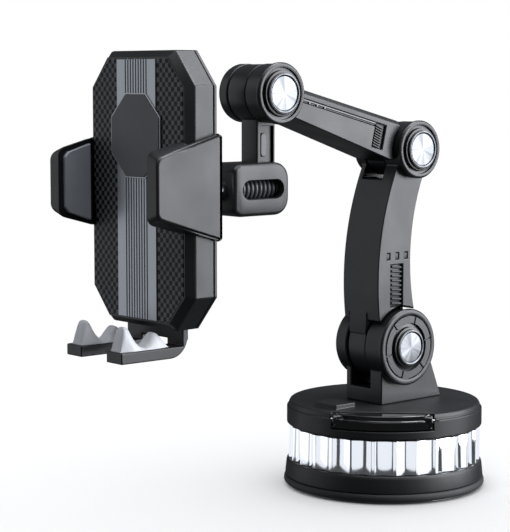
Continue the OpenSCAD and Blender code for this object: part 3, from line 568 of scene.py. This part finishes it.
# ABS, moulded in a finely eroded tool: satin charcoal
charcoal = moulded("abs_charcoal_moulded", "#1a1b1d", 0.4, 0.5, 0.008, uneven=0.04)
eased("turret_fork", charcoal, "abs_black", 0.6, 3)
eased("turret_screws", zinc, "steel", 0.1)

# ---------- Hinge bolts, nuts and washers ----------
# Each of the three hinges has a zinc-plated steel bolt through two stamped brass friction washers. The lower
# one has its nut in a pocket of the fork.

# brass, stamped: warm yellow with rolling marks
brass, brass_shader, brass_places = surface("brass_stamped", "#b08d4a", 0.3, 1.0)
relief(brass.node_tree, brass_shader, noise(brass.node_tree, brass_places, 0.3), 0.003)
for node in ("lower_axle", "elbow_axle", "wrist_axle", "lower_axle_nut"):
    eased(node, zinc, "steel", 0.15)
for node in ("lower_washers", "elbow_washers", "wrist_washers"):
    eased(node, brass, "brass", 0.06)

# ---------- Hub caps ----------
# Each hinge's +X end carries a clipped-in ABS cap with a raised seat, and a spun aluminium disc glued in it.
# The lower cap is larger and has a ring of six segments. Plain caps close the other ends.

# ABS, moulded in a polished tool and rubbed satin: cooler black
satin_black = moulded("abs_black_satin", "#1c1d1f", 0.3, 0.5, 0.005, uneven=0.04)
# ABS, painted satin grey
grey_paint = moulded("abs_grey_painted", "#2c2d30", 0.36, 0.3, 0.004, uneven=0.03)


def turned_metal(name, code, roughness, centre):
    """Metal turned on a lathe about a hinge's axis: fine rings that stretch the shine across them, and a painted
    sheen of darker and lighter sectors in its colour.
    """
    material, shader, places = surface(name, code, roughness, 1.0, Anisotropic=0.75)
    tree = material.node_tree
    inward = add(tree, "ShaderNodeVectorMath", links={0: places},
                 values={1: [c / MM for c in centre]}, operation="SUBTRACT")
    level = add(tree, "ShaderNodeVectorMath", links={0: inward.outputs["Vector"]},
                values={1: (0.0, 1.0, 1.0)}, operation="MULTIPLY")
    around = add(tree, "ShaderNodeVectorMath", links={1: level.outputs["Vector"]},
                 values={0: (1.0, 0.0, 0.0)}, operation="CROSS_PRODUCT")
    along = add(tree, "ShaderNodeVectorMath", links={0: around.outputs["Vector"]}, operation="NORMALIZE")
    tree.links.new(along.outputs["Vector"], shader.inputs["Tangent"])
    distance = add(tree, "ShaderNodeVectorMath", links={0: level.outputs["Vector"]}, operation="LENGTH")
    rings = add(tree, "ShaderNodeTexNoise", links={"W": distance.outputs["Value"]},
                values={"Scale": 9.0, "Detail": 2.0}, noise_dimensions="1D")
    relief(tree, shader, rings.outputs["Fac"], 0.006)
    # painted sheen: the base colour is darkened in faint sectors round the axis, standing in for the light that
    # the brushing catches
    parts = add(tree, "ShaderNodeSeparateXYZ", links={0: level.outputs["Vector"]})
    bearing = add(tree, "ShaderNodeMath", links={0: parts.outputs["Y"], 1: parts.outputs["Z"]},
                  operation="ARCTAN2")
    painted_sheen_sectors = add(tree, "ShaderNodeTexNoise", links={"W": bearing.outputs[0]},
                  values={"Scale": 1.7, "Detail": 1.0}, noise_dimensions="1D")
    painted_sheen_mask = add(tree, "ShaderNodeMapRange", links={"Value": painted_sheen_sectors.outputs["Fac"]},
                values={"From Min": 0.35, "From Max": 0.65})
    tone = add(tree, "ShaderNodeMix", links={"Factor": painted_sheen_mask.outputs["Result"]}, data_type="RGBA")
    base = linear(code)
    tone.inputs[6].default_value = [c * 0.55 for c in base[:3]] + [1.0]
    tone.inputs[7].default_value = base
    tree.links.new(tone.outputs[2], shader.inputs["Base Color"])
    return material


GROOVE = 1.1
FACE_DROP = 1.6            # from the seat's top down to the cap's face
LOWER_FACE_R = 13.4        # inside of the lower cap's painted ring
FACE_WIDE = 1.9            # width of the rim on the two small caps
SEAT_STEP, SEAT_FOOT = 0.5, 1.4
for hinge in ("lower", "elbow", "wrist"):
    joint = next(j for j in frame["joints"] if j["name"] == hinge + "_hinge")
    centre = (0, joint["pos_m"][1], joint["pos_m"][2])
    body = frame["nodes"][hinge + "_cap"]["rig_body"]
    low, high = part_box(hinge + "_cap")
    rim = (high.z - centre[2]) / MM
    seat = (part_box(hinge + "_cap_disc")[1].z - centre[2]) / MM + 0.02
    top, bottom = high.x / MM, low.x / MM
    face = top - FACE_DROP
    inner = LOWER_FACE_R if hinge == "lower" else rim - FACE_WIDE
    cap_profile = [(0, bottom), (rim, bottom), (rim, face - 0.6), (rim - 0.6, face), (inner, face),
                   (inner, face - GROOVE), (seat + SEAT_FOOT, face - GROOVE), (seat + SEAT_FOOT, face + 0.5),
                   (seat + SEAT_STEP, face + 0.5), (seat + SEAT_STEP, top), (seat, top), (seat, top - 0.8),
                   (0, top - 0.8)]
    cap = spun(hinge + "_hub_cap", rounded(cap_profile, 0.18, 2), "X", centre)
    dress(cap, satin_black, "cap_black", body, hinge + "_cap")
    # the painted ring round the edge of the face
    ring_low, ring_high = face - 0.3, face + 0.12
    ring_profile = [(inner + 0.35, ring_low), (rim - 0.75, ring_low), (rim - 0.75, ring_high),
                    (inner + 0.35, ring_high)]
    ring = spun(hinge + "_rim_ring", rounded(ring_profile, 0.1, 2), "X", centre)
    dress(ring, grey_paint, "cap_black", body)
    # the turned bezel that holds the disc down
    bezel_profile = [(seat - 0.75, top - 0.5), (seat + 0.2, top - 0.5), (seat + 0.2, top + 0.12),
                     (seat - 0.2, top + 0.2), (seat - 0.75, top + 0.02)]
    steel_ring = turned_metal(hinge + "_bezel_aluminium_turned", "#6c6f72", 0.3, centre)
    dress(spun(hinge + "_bezel", rounded(bezel_profile, 0.08, 2), "X", centre), steel_ring, "spun_disc", body)
    # the disc, spun so that it rises a little towards its middle
    disc_metal = turned_metal(hinge + "_disc_aluminium_spun", "#7f8184", 0.36, centre)
    disc_r, disc_back = seat - 0.7, top - 0.82
    disc_profile = [(0, disc_back), (disc_r, disc_back), (disc_r, top - 0.3), (disc_r - 0.4, top - 0.22),
                    (0, top - 0.08)]
    disc = spun(hinge + "_spun_disc", rounded(disc_profile, 0.1, 2), "X", centre)
    dress(disc, disc_metal, "spun_disc", body, hinge + "_cap_disc")
    bright_work.objects.link(disc)
eased("lower_cap_ring", grey_paint, "cap_black", 0.12)
for hinge in ("lower", "elbow", "wrist"):
    eased(hinge + "_end_cap", satin_black, "cap_black", 0.4, 3)

# ---------- Lower arm ----------
# A hollow, curved ABS moulding that turns in the fork. A vent of nine moulded ribs and three small studs are
# pressed into its +X side.

slats, given = new_shape("slats", Count="Int", First="Vector", Step="Vector", Length="Float", Width="Float",
                         Height="Float", Turn="Float", Round="Float")
spots = add(slats, "GeometryNodeMeshLine", links={"Count": given.outputs["Count"],
                                                  "Start Location": given.outputs["First"],
                                                  "Offset": given.outputs["Step"]}, mode="OFFSET")
half = add(slats, "ShaderNodeMath", links={0: given.outputs["Length"]}, values={1: 0.5},
           operation="MULTIPLY")
back = add(slats, "ShaderNodeMath", links={0: half.outputs[0]}, values={1: -1.0}, operation="MULTIPLY")
near_end = add(slats, "ShaderNodeCombineXYZ", links={"Y": back.outputs[0]})
far_end = add(slats, "ShaderNodeCombineXYZ", links={"Y": half.outputs[0]})
spine = add(slats, "GeometryNodeCurvePrimitiveLine", links={0: near_end.outputs[0], 1: far_end.outputs[0]})
bar_section = add(slats, "GeometryNodeCurvePrimitiveQuadrilateral",
                  links={"Width": given.outputs["Width"], "Height": given.outputs["Height"]})
bar_soft = add(slats, "GeometryNodeFilletCurve",
               links={"Curve": bar_section.outputs[0], "Radius": given.outputs["Round"]}, values={"Count": 3},
               mode="POLY")
bar = add(slats, "GeometryNodeCurveToMesh",
          links={"Curve": spine.outputs[0], "Profile Curve": bar_soft.outputs[0]}, values={"Fill Caps": True})
tilt = add(slats, "ShaderNodeCombineXYZ", links={"X": given.outputs["Turn"]})
row = add(slats, "GeometryNodeInstanceOnPoints",
          links={"Points": spots.outputs[0], "Instance": bar.outputs[0], "Rotation": tilt.outputs[0]})
close_shape(slats, given, row.outputs[0])


def merge(name, *pieces):
    """Several pieces' meshes as one piece."""
    work = bmesh.new()
    for piece in pieces:
        work.from_mesh(piece.data)
    mesh = finished(work, name)
    for piece in pieces:
        bpy.data.objects.remove(piece)
    shade(mesh)
    return add_piece(name, mesh)


def slab(name, low, high):
    """A flat plate between two corners."""
    work = bmesh.new()
    bmesh.ops.create_cube(work, size=1.0)
    for v in work.verts:
        v.co = [low[k] + (high[k] - low[k]) * (v.co[k] + 0.5) for k in range(3)]
    bmesh.ops.bevel(work, geom=work.edges[:], offset=0.08 * MM, segments=2, profile=0.5, affect="EDGES")
    return add_piece(name, finished(work, name))


# ABS, moulded in a polished tool: the flat sides of both arms
arm_skin = moulded("abs_arm_moulded", "#1e1f22", 0.38, 0.6, 0.005, uneven=0.04)
eased("lower_arm", arm_skin, "arm_abs", 0.5, 3)
low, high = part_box("lower_arm_grille")
plate = slab("vent_plate", low, (high.x - 1.1 * MM, high.y, high.z))
ribs = grown("vent_ribs", slats, Material=black_abs, Count=9, Length=5.4 * MM, Width=1.25 * MM,
             Height=0.9 * MM,
             First=(high.x - 0.62 * MM, (low.y + high.y) / 2, low.z + 1.3 * MM), Step=(0, 0, 1.88 * MM),
             Turn=math.radians(-6), Round=0.25 * MM)
dress(merge("lower_vent", plate, ribs), black_abs, "abs_black", "lower_arm", "lower_arm_grille")
low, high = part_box("lower_arm_studs")
studs = grown("three_studs", slats, Material=black_abs, Count=3, Length=1.5 * MM, Width=high.x - low.x,
              Height=high.z - low.z, First=((low.x + high.x) / 2, low.y + 0.75 * MM, (low.z + high.z) / 2),
              Step=(0, 5.1 * MM, 0), Round=0.25 * MM)
dress(studs, black_abs, "gloss_black", "lower_arm", "lower_arm_studs")

# ---------- Upper arm ----------
# The same construction, on the elbow's bolt, with a narrower vent near the elbow. A polished ABS inlay with
# three teeth is glued along its top edge.

eased("upper_arm", arm_skin, "arm_abs", 0.5, 3)
eased("upper_arm_grille", black_abs, "abs_black", 0.1)
eased("upper_arm_inlay", polished, "gloss_black", 0.12)

# ---------- Neck and barrel ----------
# One ABS moulding hangs from the wrist: a tongue, a flat bar with a key pressed into it, and a barrel that
# holds the ball's stud. A ribbed core lies behind the barrel's window; its grey is a painted highlight on the
# ridges.


def loft(name, axis, stations):
    """A closed solid through outlines of equal point count, each given as (height, outline) in mm."""
    work = bmesh.new()
    rings = [[work.verts.new(Vector(AXES[axis](a, b, height)) * MM) for a, b in outline]
             for height, outline in stations]
    count = len(rings[0])
    for ring, other in zip(rings, rings[1:]):
        for k in range(count):
            work.faces.new([ring[k], ring[(k + 1) % count], other[(k + 1) % count], other[k]])
    work.faces.new(rings[0])
    work.faces.new(rings[-1])
    bmesh.ops.recalc_face_normals(work, faces=work.faces)
    return add_piece(name, finished(work, name))


def cut(piece, *cutters):
    """The piece with the cutters taken out of it."""
    for cutter in cutters:
        tool = piece.modifiers.new("cut", "BOOLEAN")
        tool.object = cutter
        tool.solver = "EXACT"
    bpy.context.view_layer.update()
    graph = bpy.context.evaluated_depsgraph_get()
    mesh = bpy.data.meshes.new_from_object(piece.evaluated_get(graph))
    piece.modifiers.clear()
    piece.data = mesh
    for cutter in cutters:
        bpy.data.objects.remove(cutter)
    shade(mesh)
    return piece


def inset(outline, amount):
    """The outline drawn in by an amount, each point along the bisector of its corner."""
    made = []
    for i, point in enumerate(outline):
        before, after = Vector(outline[i - 1]), Vector(outline[(i + 1) % len(outline)])
        way_in = (Vector(point) - before).normalized()
        way_out = (after - Vector(point)).normalized()
        normal = Vector((-(way_in + way_out).y, (way_in + way_out).x)).normalized()
        lean = max(0.35, normal.dot(Vector((-way_in.y, way_in.x))))
        made.append(tuple(Vector(point) + normal * amount / lean))
    return made


def slot_outline(middle_a, middle_b, reach, radius, steps=14):
    """A round-ended slot whose end circles stand reach each way from its middle."""
    made = []
    for end in (1, -1):
        for k in range(steps):
            angle = math.pi * (end * 0.5 - k / (steps - 1))
            made.append((middle_a + end * reach + radius * math.cos(angle),
                         middle_b + radius * math.sin(angle)))
    return made


low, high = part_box("neck")
core_low, core_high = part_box("barrel_core")
wrist = next(j for j in frame["joints"] if j["name"] == "wrist_hinge")["pos_m"]
bore_z = (core_low.z + core_high.z) / 2 / MM
front, floor_z, side = low.y / MM, low.z / MM, high.x / MM
roof_z = 2 * bore_z - floor_z
rear = core_high.y / MM + 3.05
REAR_R = 6.5                       # round of the barrel's rear corners
REAR_STEPS = 8
CHAMFER_LONG, CHAMFER_TALL = 3, 2  # on the barrel's front corners
straight = (roof_z - floor_z) / 2 - REAR_R
outline = [(front, floor_z + CHAMFER_TALL), (front + CHAMFER_LONG, floor_z)]
for sign in (-1, 1):
    for k in range(REAR_STEPS + 1):
        a = math.pi / 2 * k / REAR_STEPS
        bend = (math.sin(a), math.cos(a)) if sign < 0 else (math.cos(a), math.sin(a))
        outline.append((rear - REAR_R + REAR_R * bend[0], bore_z + sign * (straight + REAR_R * bend[1])))
outline += [(front + CHAMFER_LONG, roof_z), (front, roof_z - CHAMFER_TALL)]
outline = rounded(outline, 1.2, 4)
# how far the outline is drawn in at each depth below the barrel's sides
rims = [(0.0, 1.5), (0.2, 0.85), (0.6, 0.35), (1.1, 0.1), (1.6, 0.0)]
stations = ([(-side + rise, inset(outline, pull)) for rise, pull in rims]
            + [(side - rise, inset(outline, pull)) for rise, pull in reversed(rims)])
barrel = loft("barrel", "X", stations)
WINDOW_Y, WINDOW_REACH, WINDOW_R = -74.9, 6.8, 3.6
BORE_R, BORE_FRONT, BORE_REAR = 5.4, -87.5, -62.3
STUD_HOLE_R = 4.36


def box_outline(low_a, high_a, low_b, high_b, grow=0.0):
    """The four corners of a rectangle, grown on every side."""
    return [(low_a - grow, low_b - grow), (high_a + grow, low_b - grow),
            (high_a + grow, high_b + grow), (low_a - grow, high_b + grow)]


# the window's mouth flares where it meets the barrel's side
mouth = loft("mouth", "X", [(x, slot_outline(WINDOW_Y, bore_z, WINDOW_REACH, WINDOW_R + flare))
                            for x, flare in ((0, 0), (side - 0.4, 0), (side - 0.05, 0.2), (side + 0.5, 0.7))])
bore = spun("bore", box_outline(0, BORE_R, BORE_FRONT, BORE_REAR), "Y", (0, 0, bore_z * MM), 96)
stud_hole = spun("stud_hole", box_outline(0, STUD_HOLE_R, front - 5, BORE_FRONT + 2.5), "Y",
                 (0, 0, bore_z * MM), 96)
barrel = cut(barrel, mouth, bore, stud_hole)
BAR_HALF, BAR_FRONT, BAR_REAR = 4.8, -74.9, -65.7
KEY_FRONT, KEY_REAR, KEY_LOW, KEY_TOP = -73.2, -66.6, 137.4, 151.4  # recess that the key sits in
KEY_DEEP = 1.2
AXLE_ROOM_R = 6
TONGUE_BORE_R, TONGUE_R = 3.05, 11.2
bar = loft("bar", "Z", [(z, rounded(box_outline(-BAR_HALF, BAR_HALF, BAR_FRONT, BAR_REAR), 0.6, 4))
                        for z in (roof_z - 1.2, wrist[2] / MM - 5)])
recess = loft("recess", "X", [(x, rounded(box_outline(KEY_FRONT, KEY_REAR, KEY_LOW, KEY_TOP, grow), 0.5, 4))
                              for x, grow in ((BAR_HALF - KEY_DEEP, 0), (BAR_HALF - 0.2, 0),
                                              (BAR_HALF + 0.2, 0.3))])
axle_room = spun("axle_room", box_outline(0, AXLE_ROOM_R, -20, 20), "X", (0, wrist[1], wrist[2]), 64)
bar = cut(bar, recess, axle_room)
tongue = spun("tongue", rounded(box_outline(TONGUE_BORE_R, TONGUE_R, -BAR_HALF, BAR_HALF), 0.3), "X",
              (0, wrist[1], wrist[2]))
dress(merge("neck_and_barrel", barrel, bar, tongue), charcoal, "arm_abs", "neck", "neck")
eased("neck_key", satin_black, "cap_black", 0.3, 3)
ridges, given = new_shape("ridges", Count="Int", First="Vector", Step="Vector", Radius="Float",
                          Thick="Float")
spots = add(ridges, "GeometryNodeMeshLine", links={"Count": given.outputs["Count"],
                                                   "Start Location": given.outputs["First"],
                                                   "Offset": given.outputs["Step"]}, mode="OFFSET")
hoop = add(ridges, "GeometryNodeCurvePrimitiveCircle", links={"Radius": given.outputs["Radius"]},
           values={"Resolution": 64})
wire = add(ridges, "GeometryNodeCurvePrimitiveCircle", links={"Radius": given.outputs["Thick"]},
           values={"Resolution": 20})
torus = add(ridges, "GeometryNodeCurveToMesh",
            links={"Curve": hoop.outputs[0], "Profile Curve": wire.outputs[0]})
upended = add(ridges, "GeometryNodeTransform", links={0: torus.outputs[0]},
              values={"Rotation": (math.pi / 2, 0, 0)})
row = add(ridges, "GeometryNodeInstanceOnPoints",
          links={"Points": spots.outputs[0], "Instance": upended.outputs[0]})
close_shape(ridges, given, row.outputs[0])
# ABS, moulded, rubbed satin: charcoal lifted to mid grey, a painted highlight for the light that its ridges catch
core_plastic_painted_highlight = moulded("abs_grey_painted_highlight", "#4a4c50", 0.35, 0.5, 0.004)
CORE_R = 4.3
HOOPS, HOOP_PITCH, HOOP_THICK, FIRST_HOOP = 11, 2.15, 0.85, -85.8
core_z = (core_low.z + core_high.z) / 2
core_profile = box_outline(0, CORE_R, core_low.y / MM, core_high.y / MM + 2)
core = spun("core", rounded(core_profile, 0.3, 2), "Y", (0, 0, core_z), 64)
hoops = grown("hoops", ridges, Material=core_plastic_painted_highlight, Count=HOOPS, First=(0, FIRST_HOOP * MM, core_z),
              Step=(0, HOOP_PITCH * MM, 0), Radius=CORE_R * MM, Thick=HOOP_THICK * MM)
dress(merge("ribbed_core", core, hoops), core_plastic_painted_highlight, "cap_black", "neck", "barrel_core")

# ---------- Ball joint ----------
# A steel stud with a 17 mm ball is pressed into the barrel. The ball sits between two thin acetal liners,
# and a ribbed ABS nut draws them together.

# steel, turned and polished: nearly a mirror, with the faintest turning marks
bright_steel, bright_shader, bright_places = surface("steel_polished", "#c9ccd0", 0.14, 1.0)
relief(bright_steel.node_tree, bright_shader, noise(bright_steel.node_tree, bright_places, 0.5), 0.001)
eased("ball_stud", bright_steel, "steel", 0.2)
eased("ball_liner_rear", acetal, "pom_white", 0.06)
eased("ball_liner_front", acetal, "pom_white", 0.06)
eased("socket_nut", charcoal, "clamp_abs", 0.2, 3)

# ---------- Clamp body ----------
# A shallow ABS tray closed by a rear cover with four screws. Its front carries a printed carbon-pattern film,
# a brushed and grooved aluminium strip and an octagonal silicone pad in a thin silver frame.

eased("clamp_body", charcoal, "clamp_abs", 0.6, 3)
eased("clamp_rear_cover", charcoal, "clamp_abs", 0.5, 3)
eased("clamp_screws", zinc, "steel", 0.1)
CELL = 1.7  # mm, one square of the printed twill
# polyester film, printed with a carbon twill and clear coated: dark squares that barely shine
carbon, carbon_shader, carbon_places = surface("carbon_film_printed", "#2c2c2d", 0.5, Specular_IOR_Level=0.18)
tree = carbon.node_tree
parts = add(tree, "ShaderNodeSeparateXYZ", links={0: carbon_places})
waves = []
for label in ("X", "Z"):
    scaled = add(tree, "ShaderNodeMath", links={0: parts.outputs[label]}, values={1: math.pi / CELL},
                 operation="MULTIPLY")
    waves.append(add(tree, "ShaderNodeMath", links={0: scaled.outputs[0]}, operation="SINE"))
product = add(tree, "ShaderNodeMath", links={0: waves[0].outputs[0], 1: waves[1].outputs[0]},
              operation="MULTIPLY")
weave = add(tree, "ShaderNodeMapRange", links={"Value": product.outputs[0]},
            values={"From Min": -0.3, "From Max": 0.3}, interpolation_type="SMOOTHSTEP")
tone = add(tree, "ShaderNodeMix", links={"Factor": weave.outputs["Result"]}, data_type="RGBA")
tone.inputs[6].default_value = linear("#060607")
tone.inputs[7].default_value = linear("#66686c")
tree.links.new(tone.outputs[2], carbon_shader.inputs["Base Color"])
strands = add(tree, "ShaderNodeTexWave", links={"Vector": carbon_places}, values={"Scale": 1.6},
              wave_type="BANDS", bands_direction="DIAGONAL")
relief(tree, carbon_shader, strands.outputs["Fac"], 0.006)
eased("front_panel", carbon, "carbon_film", 0.3, 2)

# aluminium sheet, brushed lengthwise and grooved: a grey sheen drawn out across the strip
brushed, brushed_shader, brushed_places = surface("aluminium_brushed", "#a3a7ac", 0.34, 1.0, Anisotropic=0.5)
tree = brushed.node_tree
stretched = add(tree, "ShaderNodeVectorMath", links={0: brushed_places}, values={1: (9.0, 1.0, 0.12)},
                operation="MULTIPLY")
streaks = noise(tree, stretched.outputs["Vector"], 1.0, 3.0)
relief(tree, brushed_shader, streaks, 0.008)
gloss = add(tree, "ShaderNodeMapRange", links={"Value": streaks}, values={"To Min": 0.26, "To Max": 0.44})
tree.links.new(gloss.outputs["Result"], brushed_shader.inputs["Roughness"])
upright_way = add(tree, "ShaderNodeCombineXYZ", values={"Z": 1.0})
tree.links.new(upright_way.outputs[0], brushed_shader.inputs["Tangent"])
eased("centre_strip", brushed, "satin_strip", 0.08)

# silicone rubber, moulded: soft dark grey
silicone = moulded("silicone_moulded", "#56575a", 0.55, 0.7, 0.015, Sheen_Weight=0.1)
eased("phone_pad", silicone, "silicone_pad", 0.2, 2)
low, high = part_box("phone_pad")
outer_x, outer_z = (high.x - low.x) / 2, (high.z - low.z) / 2
pad_z = (low.z + high.z) / 2
FRAME_GAP, FRAME_OUT = 0.05, 0.55   # mm from the pad to the frame's inside and outside
FRAME_BACK, FRAME_FRONT = 1.2, 0.3  # mm behind the pad's front
work = bmesh.new()
rings = []
for grow, depth in ((FRAME_GAP, FRAME_BACK), (FRAME_GAP, FRAME_FRONT), (FRAME_OUT, FRAME_FRONT),
                    (FRAME_OUT, FRAME_BACK)):
    half_x, half_z = outer_x + grow * MM, outer_z + grow * MM
    cut_x, cut_z = half_x * 0.4, (outer_x * 0.46) + grow * 0.5 * MM
    outline = [(-cut_x, half_z), (cut_x, half_z), (half_x, cut_z), (half_x, -cut_z), (cut_x, -half_z),
               (-cut_x, -half_z), (-half_x, -cut_z), (-half_x, cut_z)]
    rings.append([work.verts.new((x, low.y + depth * MM, pad_z + z)) for x, z in outline])
for i, ring in enumerate(rings):
    other = rings[(i + 1) % len(rings)]
    for k in range(8):
        work.faces.new([ring[k], ring[(k + 1) % 8], other[(k + 1) % 8], other[k]])
bmesh.ops.recalc_face_normals(work, faces=work.faces)
bmesh.ops.bevel(work, geom=work.edges[:], offset=0.1 * MM, segments=2, profile=0.5, affect="EDGES")
mesh = finished(work, "pad_frame")
shade(mesh)
dress(add_piece("pad_frame", mesh), brushed, "satin_strip", "clamp")

# ---------- Jaws ----------
# Two ABS jaws, each moulded in one with its rack, slide inside the clamp. A pad of thermoplastic rubber is
# overmoulded in each jaw's recess.

# thermoplastic rubber, overmoulded: mid grey and softly dull
soft_grey = moulded("tpe_overmoulded", "#b2b6be", 0.5, 0.6, 0.01, Sheen_Weight=0.1)
plate_inner = 26.7 * MM  # the racks run inwards from the plates' inner faces
pad_floor = 27.9 * MM    # just past the floor of the recess that holds the pad


def jaw_share(point):
    """How much of the jaw's easing a point gets: little on the teeth, some on the recess, all outside."""
    if abs(point.x) < plate_inner:
        return 0.12
    return 0.3 if abs(point.x) < pad_floor else 1.0


for side in ("right", "left"):
    eased("jaw_" + side, charcoal, "clamp_abs", 1.1, 3, share=jaw_share)
    eased("jaw_pad_" + side, soft_grey, "jaw_rubber", 0.4, 3)

# ---------- Pinion and spring ----------
# A moulded acetal pinion on the clamp's post meshes with both racks. A coil of spring steel beside it draws
# the jaws together.

eased("jaw_pinion", acetal, "pom_white", 0.04)
coil, given = new_shape("coil", Turns="Float", Radius="Float", Length="Float", Wire="Float", Place="Vector")
spiral = add(coil, "GeometryNodeCurveSpiral",
             links={"Rotations": given.outputs["Turns"], "Start Radius": given.outputs["Radius"],
                    "End Radius": given.outputs["Radius"], "Height": given.outputs["Length"]},
             values={"Resolution": 40})
wire = add(coil, "GeometryNodeCurvePrimitiveCircle", links={"Radius": given.outputs["Wire"]},
           values={"Resolution": 12})
swept = add(coil, "GeometryNodeCurveToMesh",
            links={"Curve": spiral.outputs[0], "Profile Curve": wire.outputs[0]}, values={"Fill Caps": True})
laid = add(coil, "GeometryNodeTransform", links={0: swept.outputs[0], "Translation": given.outputs["Place"]},
           values={"Rotation": (-math.pi / 2, 0, 0)})
close_shape(coil, given, laid.outputs[0])
low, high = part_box("pinion_spring")
wire_r = 0.3 * MM
spring = grown("spring", coil, Material=bright_steel, Turns=5.0, Radius=(high.x - low.x) / 2 - wire_r,
               Length=high.y - low.y - 2 * wire_r, Wire=wire_r,
               Place=(0, low.y + wire_r, (low.z + high.z) / 2))
dress(spring, bright_steel, "steel", "pinion", "pinion_spring")

# ---------- Feet ----------
# A sliding ABS carrier ends in two trays. A silver-grey rubber pad is bonded in each, moulded with two humps
# that hold the phone's edge.

eased("foot_carrier", charcoal, "clamp_abs", 0.5, 3)
# thermoplastic rubber, moulded: light silver grey
silver_rubber = moulded("tpe_silver_moulded", "#d2d4d8", 0.42, 0.7, 0.01)
# height of the pad's back along its length, in shares of the length and of the height
HUMPS = [(0.0, 0.0), (0.04, 0.45), (0.1, 0.93), (0.15, 1.0), (0.2, 0.93), (0.3, 0.5), (0.42, 0.16),
         (0.5, 0.1), (0.58, 0.25), (0.66, 0.5), (0.73, 0.64), (0.8, 0.58), (0.88, 0.36), (0.95, 0.15), (1.0, 0.0)]


def along_humps(share):
    """The height at a share of the length, on a smooth curve through the points."""
    k = next(i for i in range(1, len(HUMPS)) if share <= HUMPS[i][0])
    (x0, y0), (x1, y1) = HUMPS[k - 1], HUMPS[k]
    before = HUMPS[k - 2] if k > 1 else (x0 - (x1 - x0), y0)
    after = HUMPS[k + 1] if k + 1 < len(HUMPS) else (x1 + (x1 - x0), y1)
    slope0 = (y1 - before[1]) / (x1 - before[0])
    slope1 = (after[1] - y0) / (after[0] - x0)
    t = (share - x0) / (x1 - x0)
    wide = x1 - x0
    return ((2 * t ** 3 - 3 * t ** 2 + 1) * y0 + (t ** 3 - 2 * t ** 2 + t) * wide * slope0
            + (3 * t ** 2 - 2 * t ** 3) * y1 + (t ** 3 - t ** 2) * wide * slope1)


FLARE = 1.1         # mm that the pad's foot spreads on each side
SLICES, FACETS = 96, 32
LEAST_TALL = 0.012  # of the pad's height, so that its ends stay closed
for side in ("right", "left"):
    low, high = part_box("foot_pad_" + side)
    middle_x, half_w = (low.x + high.x) / 2, (high.x - low.x) / 2
    work = bmesh.new()
    stations = []
    for i in range(SLICES + 1):
        share = i / SLICES
        y = low.y + (high.y - low.y) * share
        tall = max(along_humps(share), LEAST_TALL) * (high.z - low.z)
        spread = FLARE * MM * min(1, 4 * share, 4 * (1 - share))
        around = []
        for k in range(FACETS + 1):
            a = math.pi * k / FACETS
            wide = half_w + spread * (1 - math.sin(a)) ** 2
            x = middle_x + wide * math.copysign(abs(math.cos(a)) ** 0.55, math.cos(a))
            around.append(work.verts.new((x, y, low.z + tall * math.sin(a) ** 0.6)))
        stations.append(around)
    for station, other in zip(stations, stations[1:]):
        for k in range(FACETS + 1):
            after = (k + 1) % (FACETS + 1)
            work.faces.new([station[k], station[after], other[after], other[k]])
    work.faces.new(stations[0])
    work.faces.new(stations[-1])
    bmesh.ops.recalc_face_normals(work, faces=work.faces)
    mesh = finished(work, "foot_pad_humps_" + side)
    shade(mesh, 50)
    dress(add_piece("foot_pad_humps_" + side, mesh), silver_rubber, "foot_grey", "feet", "foot_pad_" + side)
